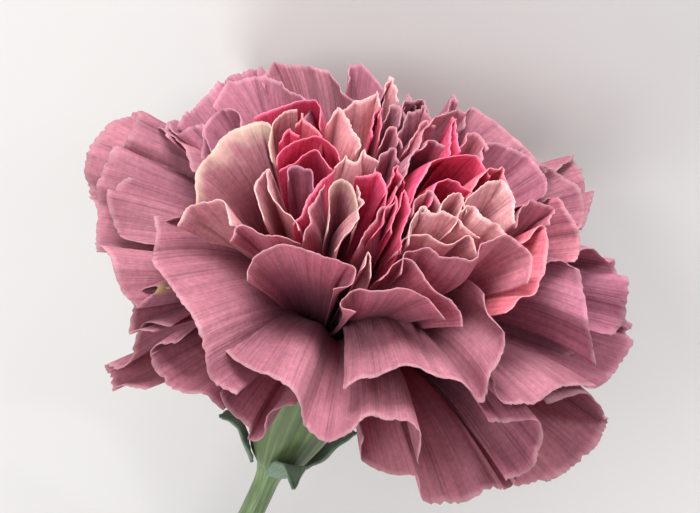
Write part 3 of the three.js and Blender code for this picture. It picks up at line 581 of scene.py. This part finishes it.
        (16.4, 12.8, 0.6), (18.2, 16, 0.4), (21, 18.7, 0.2), (23.3, 18.7, 0.2), (25, 16, 0.3),
        (25.2, 12.4, 0.5),
    ]},
    "rear_right_front": {**middle, "skin": "mauve", "cup": 0.02, "arch": 2, "rim": [
        (20.2, 21.5, 3.6), (20.5, 24.2, 3.4), (24.5, 23.7, 3.2), (27.5, 21.9, 3.2), (30, 18.8, 3.2),
        (29.6, 15.6, 3.8),
    ]},
    "rear_right": {**middle, "skin": "dusty", "cup": -0.04, "arch": 4, "rim": [
        (17.2, 27, 8), (18.9, 29.4, 7.5), (22, 27.9, 7), (25, 25.2, 6.5), (28.2, 22, 6.2),
        (30.2, 20, 6.2),
    ]},
    "heart_front_pleats": {**heart, "skin": "pale", "cup": 0.08, "rim": [
        (10.2, 10.6, 1), (10.9, 13.8, 0.8), (12.4, 14.4, 0.8), (15.7, 14, 0.8), (18, 12.2, 0.8),
        (20, 10.8, 1),
    ]},
}

# Rear guards, which the bloom lies on: bearing and half width in degrees, radius and height.
rearGuards = {
    "under_left": (152, 24, 38.5, 4),
    "under_rear_left": (113, 20, 41.9, 2),
    "under_rear": (86, 19, 33.5, 6),
    "under_rear_right": (58, 20, 37.2, 2),
    "under_right": (22, 18, 38, 3),
}
# Shorter petals that close the gaps between the rear guards. They have no CAD node of their own.
between = {
    "between_left": (134, 18, 36.5, 5),
    "between_rear_left": (100, 17, 36, 5.5),
    "between_rear_right": (71, 17, 34.5, 5),
    "between_right": (40, 17, 36, 4.5),
    "between_far_left": (171, 16, 36, 6),
    "between_far_right": (3, 16, 36, 5),
}


def rearPetal(bearing, halfWidth, radius, height, rimPlaces=6, sideDrop=0.16):
    across = np.linspace(-1, 1, rimPlaces)
    turn = np.radians(bearing - across * halfWidth)
    reach = radius * (1 - sideDrop * across**2)
    outwards = np.cos(turn)[:, None] * sideways + np.sin(turn)[:, None] * rearward
    ends = reach[:, None] * outwards + height * axis
    return {**guard, "skin": "dusty", "folds": (2.5, 1.1, 0.2), "ends": ends}


for name, sizes in rearGuards.items():
    petals[name] = rearPetal(*sizes)

# Small petals crowded in the two hearts of the bloom and between them. They have no CAD node of their own.
small = {**heart, "cup": 0.16, "folds": (1, 0.15, 0.2), "ruffle": (0.3, 5), "teeth": (0.7, 0.3)}
hollow = ("arch_inner", "bowl_low", "coral_behind", "cream_small", "rear_pair", "wall_front")
hollowBulge = -0.16  # these show their inside
crowded = {
    "arch_inner": ("hot", [
        (-7.6, 19.8, 2.3), (-5, 21.7, 2.2), (-3.2, 22.5, 2.2), (-1.6, 22.1, 2.2), (0.2, 20, 2.3),
    ]),
    "hot_strip": ("hot", [(-5.7, 12.4, 1), (-4.6, 14.6, 0.8), (-2.6, 17.4, 0.8), (-0.6, 20, 1)]),
    "pink_strip": ("rose", [(-4.5, 10.2, 0.7), (-3.8, 13, 0.6), (-2.8, 16, 0.6), (-1.6, 17.9, 0.8)]),
    "bud_wrap": ("pale", [(0.2, 8.6, 0.3), (3.3, 12.4, 0), (4.3, 15.4, 0), (3.2, 17.6, 0.3)]),
    "pink_fold": ("rose", [(2.7, 9.4, 0.5), (4.5, 12.3, 0.4), (6.2, 14.5, 0.4), (7.9, 15.7, 0.6)]),
    "deep_sheet": ("hot", [
        (7, 11.5, 0.6), (8.5, 15.8, 0.3), (9.6, 17.2, 0.2), (10.4, 15.3, 0.2), (10, 12, 0.2), (9, 8.6, 0.2),
    ]),
    "deep_sheet_left": ("hot", [
        (4.8, 10.6, 0.4), (6.6, 14, 0.3), (8.4, 17.6, 0.5), (8.8, 15, 0.4), (8.2, 11, 0.3),
    ]),
    "pale_saw": ("pale", [
        (-0.4, 20.4, 2), (1.4, 21.9, 1.9), (2.8, 21.2, 1.9), (3.9, 22.7, 1.9), (5, 22, 1.9), (6.3, 21, 2),
    ]),
    "cream_top": ("pale", [
        (0.6, 28, 3.3), (2.1, 29.7, 3.2), (3.8, 29.9, 3.2), (6.1, 31.2, 3.4), (6.9, 27.2, 3.6),
    ]),
    "crimson": ("hot", [
        (4.8, 24.6, 2.8), (5.1, 27.8, 2.8), (6.2, 28.8, 2.9), (7, 27.8, 3), (6.6, 24, 3),
    ]),
    "hot_small": ("hot", [(-8, 23.8, 1.8), (-6.2, 25.7, 1.7), (-4.6, 24.7, 1.8)]),
    "coral_small": ("coral", [(-5.8, 26.2, 2.2), (-4.6, 28, 2.1), (-3.4, 26.6, 2), (-1.2, 24.6, 2)]),
    "cream_small": ("pale", [(-9.2, 25.4, 2), (-8.1, 27.2, 2), (-6.9, 28.3, 2.1), (-5.2, 28.5, 2.3)]),
    "wall_front": ("mauve", [
        (8.6, 18, 1.3), (10, 21.3, 1.2), (11.7, 23, 1.2), (13.6, 24.1, 1.3), (15.4, 23.4, 1.5),
    ]),
    "wall_mid": ("rose", [(9.2, 22.4, 2.8), (10.8, 25.4, 2.7), (12.6, 27, 2.7), (14.2, 26.4, 2.8)]),
    "spike": ("hot", [
        (15.2, 22.2, 2.3), (15.9, 25.3, 2.2), (16.6, 27.6, 2.3), (17.3, 25.4, 2.4), (17.9, 22.4, 2.5),
    ]),
    "behind_spike": ("rose", [(17.2, 23.6, 2.9), (18.6, 25.3, 2.8), (20.4, 25.1, 2.8), (21.8, 23, 3)]),
    "bowl_low": ("hot", [
        (12.3, 15, 0.9), (13.4, 17.5, 0.8), (15, 18.7, 0.8), (17.1, 18.1, 0.8), (19.3, 16.8, 0.9),
    ]),
    "bit_left": ("rose", [
        (9.9, 13.8, 0.6), (11, 15.9, 0.5), (12.5, 17.2, 0.5), (14, 16.3, 0.5), (15, 14.6, 0.6),
    ]),
    "bit_right": ("pale", [
        (14, 13.8, 0.3), (14.8, 16.2, 0.2), (16.2, 16.8, 0.2), (17.7, 16.2, 0.2), (18.6, 14, 0.4),
    ]),
    "pleat_left": ("pale", [
        (9.4, 9.8, 0.2), (10.5, 13.9, 0), (12, 14.9, 0), (14, 14.1, 0), (16.2, 13.9, 0), (18, 12, 0.1),
    ]),
    "pleat_right": ("pale", [
        (15.4, 11.4, 0.1), (16.6, 14.3, 0), (18.5, 15.1, 0), (20.4, 13.7, 0), (22.4, 12.4, 0),
        (24.4, 10.4, 0.1),
    ]),
    "coral_behind": ("coral", [
        (18, 16.4, 1), (19.9, 19.4, 0.9), (21.8, 20.2, 0.9), (23.5, 20.2, 0.9), (24.4, 17.4, 1),
    ]),
    "rear_pair": ("mauve", [
        (8.4, 26.4, 3.8), (9.5, 29.7, 3.6), (11.2, 30, 3.6), (12.8, 29.9, 3.7), (13.8, 27.6, 4),
    ]),
    "rear_pair_front": ("dusty", [
        (8.2, 23.6, 2.9), (9.3, 27.3, 2.7), (11.2, 28.6, 2.7), (12.9, 29.1, 2.8), (14, 26.6, 3),
    ]),
    "front_curl": ("pale", [(3.4, 6.4, -0.2), (4.4, 8.7, -0.4), (5.5, 7.4, -0.4), (5, 5, -0.2)]),
    "pink_right": ("rose", [
        (24.4, 12.4, 2), (26, 15.6, 1.8), (28, 15.7, 1.8), (30.7, 14.7, 1.9), (30.2, 12, 2.1),
    ]),
    "rear_spike": ("mauve", [(14.6, 28, 4.6), (16.1, 29.9, 4.5), (16.9, 31.2, 4.6), (18, 29.8, 4.8)]),
    "rear_lobe": ("pale", [(6.4, 31.6, 7), (7.6, 33.7, 6.8), (8.7, 33, 6.8), (9.5, 29.8, 6.8)]),
    "valley_low": ("mauve", [(4.9, 19.6, 3.2), (6.3, 22.2, 3), (8.2, 23, 3), (9.5, 21, 3.2)]),
    "valley_middle": ("rose", [(5.6, 23.2, 3.9), (7, 25.8, 3.7), (8.9, 25.6, 3.7), (9.8, 23, 3.9)]),
    "valley_rear": ("dusty", [(6.2, 26.8, 4.8), (7.6, 29.2, 4.6), (9.6, 28.8, 4.6), (10.4, 26, 4.8)]),
    "valley_front": ("hot", [(6.4, 16.2, 1.9), (7.5, 19.2, 1.8), (8.9, 20.4, 1.8), (9.9, 18, 1.9)]),
    "rear_tip": ("dusty", [(8.6, 28, 5.5), (10.4, 31, 5.3), (11.8, 29, 5.4)]),
}


petalSheet = {
    "thickness": 0.11,
    "columnWidth": 0.34,
    "fewestColumns": 40,
    "mostColumns": 130,
    "rows": 40,
    "crimp": 0.14,  # a finer wave near the rim, as a share of the ruffle
    "crinkle": 0.05,  # fine unevenness all over
    "sway": 0.25,  # slow rise and fall from claw to rim
}


# The petal's middle sheet, from its claw in the calyx over a waist out to its toothed rim.
def petalSurface(petal, seed):
    rng = np.random.default_rng(seed)
    rim = petal["ends"] if "ends" in petal else rimPoints(petal["rim"])
    coarse = spline(rim, np.linspace(0, 1, 13))
    rimLength = np.linalg.norm(np.diff(spline(rim, np.linspace(0, 1, 80)), axis=0), axis=1).sum()
    columns = rimLength / petalSheet["columnWidth"]
    columns = int(np.clip(columns, petalSheet["fewestColumns"], petalSheet["mostColumns"]))
    u = np.linspace(0, 1, columns)
    end = spline(rim, u)
    mean = coarse.mean(axis=0)
    mean = mean - (mean @ axis) * axis
    outwards = unit(mean)
    across = np.cross(axis, outwards)
    if across @ (rim[-1] - rim[0]) < 0:
        across = -across
    clawAt = outwards * bloom["clawRing"] * np.linalg.norm(mean) / bloom["radius"]
    clawAt = clawAt - bloom["throatDepth"] * axis
    start = clawAt + np.outer((u - 0.5) * bloom["clawWidth"], across)
    bend = (
        (0.5 + petal["cup"]) * along(end, outwards)
        + petal["waist"] * along(end, across)
        + 0.5 * along(end, axis)
        + petal["arch"] * axis
    )
    places = u * rimLength
    width, depth = petal["teeth"]
    length = np.linalg.norm(end - clawAt, axis=1).mean()
    cut = toothedRim(rng, places, width, depth) / length
    v = np.linspace(0, 1, petalSheet["rows"]) ** 0.85  # closer rows towards the rim
    shortened = v[None, :] * (1 - cut[:, None] * np.clip((v[None, :] - 0.7) / 0.3, 0, 1) ** 2)
    t = shortened[..., None]
    grid = start[:, None] * (1 - t) ** 2 + bend[:, None] * 2 * t * (1 - t) + end[:, None] * t**2
    normals = normalsOf(grid)
    count, fold, phase = petal["folds"]
    ruffle, wavelength = petal["ruffle"]
    vv = shortened
    lift = fold * np.sin(2 * math.pi * (count * u + phase))[:, None] * vv**2
    lift = lift + ruffle * wander(rng, places, wavelength)[:, None] * vv**2.4
    crimp, crinkle, sway = petalSheet["crimp"], petalSheet["crinkle"], petalSheet["sway"]
    lift = lift + crimp * ruffle * wander(rng, places, wavelength / 3)[:, None] * vv**5
    lift = lift + crinkle * wander(rng, places, 1.6, 4)[:, None] * np.clip(vv * 2 - 0.5, 0, 1)
    lift = lift + sway * wander(rng, places / 3 + 7, 9)[:, None] * np.sin(3 * math.pi * vv)
    seen = 1 if normals[..., 2].mean() > 0 else -1  # which side of the sheet the face view sees
    chord = np.linalg.norm(rim[-1] - rim[0])
    belly = np.sin(math.pi * u)[:, None] * np.sin(math.pi * vv**2.2)
    lift = lift + seen * petal["bulge"] * chord * belly
    lift = lift + seen * petal["curl"] * np.clip((vv - 0.8) / 0.2, 0, 1) ** 2
    grid = grid + normals * lift[..., None]
    return grid, np.stack(np.broadcast_arrays(places[:, None], v[None, :]), axis=-1)


def petalSlot(name):
    if name.startswith("heart"):
        return "petal_heart"
    outer = ("guard", "drape", "under", "side", "rear", "curl_right")
    return "petal_outer" if name.startswith(outer) else "petal_inner"


def growPetal(name, petal, seed, slot, *nodes):
    points, uvs = petalSurface(petal, seed)
    o = gridMesh(name + "_sheet", points, "petal", uvs)
    thicken(o, petalSheet["thickness"])
    finishPiece(o, petalMaterials[petal["skin"]], slot, *nodes)


for seed, (name, petal) in enumerate(petals.items()):
    growPetal("petal_" + name, petal, seed, petalSlot(name), "petal_" + name)
for seed, (name, (skin, rim)) in enumerate(crowded.items()):
    petal = {**small, "skin": skin, "rim": rim}
    if name in hollow:
        petal["bulge"] = hollowBulge
    growPetal("crowded_" + name, petal, 100 + seed, "petal_heart")
for seed, (name, sizes) in enumerate(between.items()):
    growPetal(name, rearPetal(*sizes), 200 + seed, "petal_outer")
print("petals grown", len(petals) + len(crowded) + len(between))


# The ribbed cup from its foot up over the teeth and down inside, behind the claws.
skin, turn = calyxSkin(100, 40)
ribs = 1 + calyx["ribDepth"] / calyx["bellyRadius"] * np.cos(calyx["ribs"] * turn)
centres = along(skin, axis)
outer = centres + (skin - centres) * ribs[None, :, None]
inner = centres[::-1] + (skin - centres)[::-1] * calyx["innerShare"]
foot = centres[:1] + calyx["footHole"] * (outer[:1] - centres[:1])  # closes the foot round the stem's end
whole = np.concatenate([foot, outer, inner[: calyx["innerRows"]]], axis=0).transpose(1, 0, 2)
shares = [np.linspace(0, 1, count) for count in whole.shape[:2]]
uvs = np.stack(np.meshgrid(*shares, indexing="ij"), axis=-1)
calyxPiece = gridMesh("calyx_cup", whole[:, ::-1], "skin", uvs[:, ::-1], closedAcross=True)
finishPiece(calyxPiece, calyxPaintedShadeMaterial, "calyx_skin", "calyx")
print("calyx made")


# A blade along a path: blunt at its foot, pointed at its tip, keeled, with a faintly wavy edge.
def blade(path, side, width, keel, seed, rows=60):
    rng = np.random.default_rng(seed)
    v = np.linspace(0, 1, rows)
    middleLine = spline(path, v)
    tangent = np.gradient(middleLine, axis=0)
    tangent /= np.linalg.norm(tangent, axis=1, keepdims=True)
    out = side - (tangent @ side)[:, None] * tangent
    out /= np.linalg.norm(out, axis=1, keepdims=True)
    up = np.cross(out, tangent)
    half = width / 2 * np.maximum(0.03, np.sin(math.pi * (0.22 + 0.775 * v)))  # widest before its middle
    u = np.linspace(-1, 1, 17)[:, None, None]
    grid = middleLine + u * out * half[:, None] + keel * u**2 * up * half[:, None]
    wave = 0.04 * width * wander(rng, v * 30, 14)[None, :, None] * np.abs(u) ** 3
    grid = grid + wave * up
    uvs = np.stack(np.broadcast_arrays(u[..., 0] * 0.5, v[None, :] * 2), axis=-1)
    return grid, uvs


# Bearing round the axis in degrees, and how far the tip curls out.
bracts = {
    "bract_left": (190, 0.75),
    "bract_front": (275, 1.15),
    "bract_right": (0, 0.45),
    "bract_rear": (95, 0.4),
}
bractSize = {"length": 10.0, "width": 5.0, "thickness": 0.5, "gap": 0.7, "keel": -0.18}
for seed, (name, (bearing, curl)) in enumerate(bracts.items()):
    turnAt = math.radians(bearing)
    outwards = math.cos(turnAt) * sideways + math.sin(turnAt) * rearward
    foot = -bloom["throatDepth"] - calyx["length"]
    length, gap = bractSize["length"], bractSize["gap"]
    places = [  # radius round the axis, and height over the calyx's foot
        (calyx["footRadius"] + gap + 0.2, 0.2),
        (calyx["footRadius"] * 1.5 + gap + 0.4, 0.3 * length),
        (calyx["bellyRadius"] * 0.92 + gap + curl, 0.7 * length),
        (calyx["bellyRadius"] + gap + 3.4 * curl, (1 - 0.35 * curl) * length),
    ]
    path = [r * outwards + (foot + h) * axis for r, h in places]
    points, uvs = blade(path, np.cross(axis, outwards), bractSize["width"], bractSize["keel"], seed)
    o = gridMesh(name + "_blade", points, "skin", uvs)
    thicken(o, bractSize["thickness"])
    finishPiece(o, leafMaterial, "bract_skin", name)
print("bracts made", len(bracts))


# The stem goes on from the calyx's foot, bends, and rests on the floor at its cut end, as the CAD's does.
stemLook = {
    "radius": 1.8,
    "nodeRadius": 2.7,
    "nodeAt": 64 / 112,  # share of the length
    "length": 112.0,
    "swing": -6.0,  # degrees round the upright, away from the calyx's own direction
    "gap": 0.35,  # between the calyx's foot and the stem's end
    "neckInset": 0.6,  # how much narrower the neck is than the calyx's foot
    "bend": 0.3,  # share of the length that each end's direction holds for
    "rings": 220,
    "sides": 48,
    "swellSpread": 0.022,  # share of the length that the neck and the node swell over
}


def rowToFace(points):
    return (points - shift) @ faceToRow


stemTop = faceToRow @ (-(bloom["throatDepth"] + calyx["length"] + stemLook["gap"]) * axis) + shift
backwards = faceToRow @ -axis
level = unit(np.array([backwards[0], backwards[1], 0]))
swing = math.radians(stemLook["swing"])
endDirection = np.array([
    level[0] * math.cos(swing) - level[1] * math.sin(swing),
    level[0] * math.sin(swing) + level[1] * math.cos(swing), 0])
drop = stemTop[2] - stemLook["radius"]
stemEnd = stemTop + endDirection * math.sqrt(stemLook["length"] ** 2 - drop**2)
stemEnd[2] = stemLook["radius"]
lead = stemTop + backwards * stemLook["length"] * stemLook["bend"]
sag = stemEnd - endDirection * stemLook["length"] * stemLook["bend"]
sag[2] = stemLook["radius"] + stemLook["bend"] * drop
t = np.linspace(0, 1, 400)[:, None]
curve = stemTop * (1 - t) ** 3 + 3 * lead * t * (1 - t) ** 2 + 3 * sag * t**2 * (1 - t) + stemEnd * t**3
walked = np.concatenate([[0], np.cumsum(np.linalg.norm(np.diff(curve, axis=0), axis=1))])
share = np.linspace(0, 1, stemLook["rings"])
centreLine = np.stack([np.interp(share * walked[-1], walked, curve[:, k]) for k in range(3)], axis=1)
tangents = np.gradient(centreLine, axis=0)
tangents /= np.linalg.norm(tangents, axis=1, keepdims=True)
sides = np.cross([0, 0, 1.0], tangents)
sides /= np.linalg.norm(sides, axis=1, keepdims=True)
ups = np.cross(tangents, sides)


def attribute(tree, label):
    n = addNode(tree, "GeometryNodeInputNamedAttribute", data_type="FLOAT")
    n.inputs["Name"].default_value = label
    return n.outputs["Attribute"]


def stored(tree, source, label, value, **values):
    n = fed(tree, source, "GeometryNodeStoreNamedAttribute", **values)
    n.inputs["Name"].default_value = label
    link(tree, value, n.inputs["Value"])
    return n.outputs[0]


# The tree sweeps a closed tube along a path, wider at the neck under the calyx and at the node.
def sweepTree():
    tree = bpy.data.node_groups.new("stemSweep", "GeometryNodeTree")
    ports = {
        "Radius": "Float", "Neck Radius": "Float", "Node Radius": "Float", "Node Place": "Float",
        "Swell Spread": "Float", "Sides": "Int", "Material": "Material",
    }
    tree.interface.new_socket("Geometry", in_out="INPUT", socket_type="NodeSocketGeometry")
    for label, kind in ports.items():
        tree.interface.new_socket(label, in_out="INPUT", socket_type="NodeSocket" + kind)
    tree.interface.new_socket("Geometry", in_out="OUTPUT", socket_type="NodeSocketGeometry")
    given = addNode(tree, "NodeGroupInput").outputs
    place = attribute(tree, "share")

    def swell(radius, at):
        away = maths(tree, "DIVIDE", maths(tree, "SUBTRACT", place, at), given["Swell Spread"])
        square = maths(tree, "MULTIPLY", away, away)
        bell = maths(tree, "POWER", math.e, maths(tree, "MULTIPLY", square, -1))
        return maths(tree, "MULTIPLY", maths(tree, "SUBTRACT", radius, given["Radius"]), bell)

    neck, node = swell(given["Neck Radius"], 0), swell(given["Node Radius"], given["Node Place"])
    width = maths(tree, "ADD", maths(tree, "ADD", neck, node), given["Radius"])
    curve = fed(tree, given["Geometry"], "GeometryNodeMeshToCurve")
    ring = addNode(tree, "GeometryNodeCurvePrimitiveCircle")
    ring.inputs["Radius"].default_value = 1
    link(tree, given["Sides"], ring.inputs["Resolution"])
    turned = addNode(tree, "GeometryNodeSplineParameter").outputs[0]
    profile = stored(tree, ring.outputs[0], "turn", turned, data_type="FLOAT")
    swept = fed(tree, curve.outputs[0], "GeometryNodeCurveToMesh")
    link(tree, profile, swept.inputs["Profile Curve"])
    link(tree, width, swept.inputs["Scale"])
    swept.inputs["Fill Caps"].default_value = True
    skin = fed(tree, attribute(tree, "turn"), "ShaderNodeCombineXYZ")
    link(tree, maths(tree, "MULTIPLY", place, 10), skin.inputs[1])
    tube = stored(tree, swept.outputs[0], "skin", skin.outputs[0], data_type="FLOAT2", domain="CORNER")
    smooth = fed(tree, tube, "GeometryNodeSetShadeSmooth")
    real = fed(tree, smooth.outputs[0], "GeometryNodeRealizeInstances")
    painted = fed(tree, real.outputs[0], "GeometryNodeSetMaterial")
    link(tree, given["Material"], painted.inputs["Material"])
    link(tree, painted.outputs[0], addNode(tree, "NodeGroupOutput").inputs[0])
    return tree


stemSizes = {
    "Radius": stemLook["radius"] / 1000,
    "Neck Radius": (calyx["footRadius"] - stemLook["neckInset"]) / 1000,
    "Node Radius": stemLook["nodeRadius"] / 1000,
    "Node Place": stemLook["nodeAt"],
    "Swell Spread": stemLook["swellSpread"],
    "Sides": stemLook["sides"],
    "Material": stemMaterial,
}
path = bpy.data.meshes.new("stemPath")
path.from_pydata(centreLine / 1000, [(i, i + 1) for i in range(len(share) - 1)], [])
path.attributes.new("share", "FLOAT", "POINT").data.foreach_set("value", share)
carrier = bpy.data.objects.new("stemPath", path)
bpy.context.collection.objects.link(carrier)
sweep = carrier.modifiers.new("sweep", "NODES")
sweep.node_group = sweepTree()
for item in sweep.node_group.interface.items_tree:
    if item.name in stemSizes:
        sweep[item.identifier] = stemSizes[item.name]
swept = bpy.data.meshes.new_from_object(carrier.evaluated_get(bpy.context.evaluated_depsgraph_get()))
bpy.data.objects.remove(carrier)
stemPiece = bpy.data.objects.new("stem_tube", swept)
bpy.context.collection.objects.link(stemPiece)
finishPiece(stemPiece, stemMaterial, "stem_skin", "stem")

leafSize = {
    "length": 46.0,
    "width": 4.6,
    "thickness": 0.7,
    "keel": 0.3,
    "start": 2.3,  # inside the node's radius, so that the leaves clasp it
}
# Shares of a leaf's length: towards the bloom, sideways and up.
leafPath = ((0, 0, 0), (0.22, 0.16, 0.06), (0.42, 0.5, 0.06), (0.4, 0.92, -0.12))
at = int(stemLook["nodeAt"] * (len(share) - 1))
for sign, name in ((1, "leaf_left"), (-1, "leaf_right")):
    path = [
        centreLine[at]
        - a * leafSize["length"] * tangents[at]
        + sign * (leafSize["start"] + b * leafSize["length"]) * sides[at]
        + c * leafSize["length"] * ups[at]
        for a, b, c in leafPath
    ]
    points, uvs = blade(path, -ups[at], leafSize["width"], leafSize["keel"], 11 + sign, rows=120)
    o = gridMesh(name + "_blade", rowToFace(points), "skin", uvs)
    thicken(o, leafSize["thickness"])
    finishPiece(o, leafMaterial, "leaf_skin", name)
print("stem and leaves made")


studio = {"floor": "#d2cfcc", "floorReach": 3, "worldColour": (0.92, 0.95, 1, 1), "worldStrength": 0.52}


def areaLight(name, place, target, size, power):
    data = bpy.data.lights.new(name, "AREA")
    data.shape = "DISK"
    data.size = size
    data.energy = power
    o = bpy.data.objects.new(name, data)
    bpy.context.collection.objects.link(o)
    o.location = place
    o.rotation_euler = (Vector(target) - Vector(place)).to_track_quat("-Z", "Y").to_euler()


reach = studio["floorReach"]
corners = [(-reach, -reach, 0), (reach, -reach, 0), (reach, reach, 0), (-reach, reach, 0)]
mesh = bpy.data.meshes.new("floor")
mesh.from_pydata(corners, [], [(0, 1, 2, 3)])
floor = bpy.data.objects.new("floor", mesh)
bpy.context.collection.objects.link(floor)
paleFloor = surfaced(newMaterial("paleFloor"), {"Base Color": linear(studio["floor"]), "Roughness": 0.8})
floor.data.materials.append(paleFloor)

# The camera looks at the bloom's face, and so down on the flower that lies on the floor.
view = {
    "distance": 0.52,  # metres, like the width that the picture takes in there
    "widthAtThroat": 0.1,
    "aim": (2.14, 7.93, 0.0),
    "sensor": 36,
}
aim = toRow(np.array(view["aim"]))
right, up, back = faceToRow.T
camera = bpy.data.objects.new("camera", bpy.data.cameras.new("camera"))
bpy.context.collection.objects.link(camera)
camera.matrix_world = Matrix.Translation(Vector(aim + view["distance"] * back)) @ Matrix(
    np.column_stack([right, up, back]).tolist()
).to_4x4()
camera.data.sensor_width = view["sensor"]
camera.data.lens = view["sensor"] * view["distance"] / view["widthAtThroat"]
camera.data.clip_start = 0.01
bpy.context.scene.camera = camera

# Soft round lights: place from the aim in metres, size and power.
lights = {
    "key": (0.7 * up + 0.4 * back - 0.05 * right, 0.5, 12.5),
    "fill": (0.8 * back - 0.5 * right, 0.6, 4),
    "rimLight": (0.3 * back + 0.65 * right + 0.25 * up, 0.3, 3.2),
    "rear": (np.array([0.1, 0.75, 0.55]), 0.5, 5),
}
for name, (place, size, power) in lights.items():
    areaLight(name, aim + place, aim, size, power)
world = bpy.data.worlds.new("studio")
world.use_nodes = True
background = world.node_tree.nodes["Background"]
background.inputs["Color"].default_value = studio["worldColour"]
background.inputs["Strength"].default_value = studio["worldStrength"]
bpy.context.scene.world = world
bpy.context.scene.view_settings.view_transform = "Standard"
print("stage set")
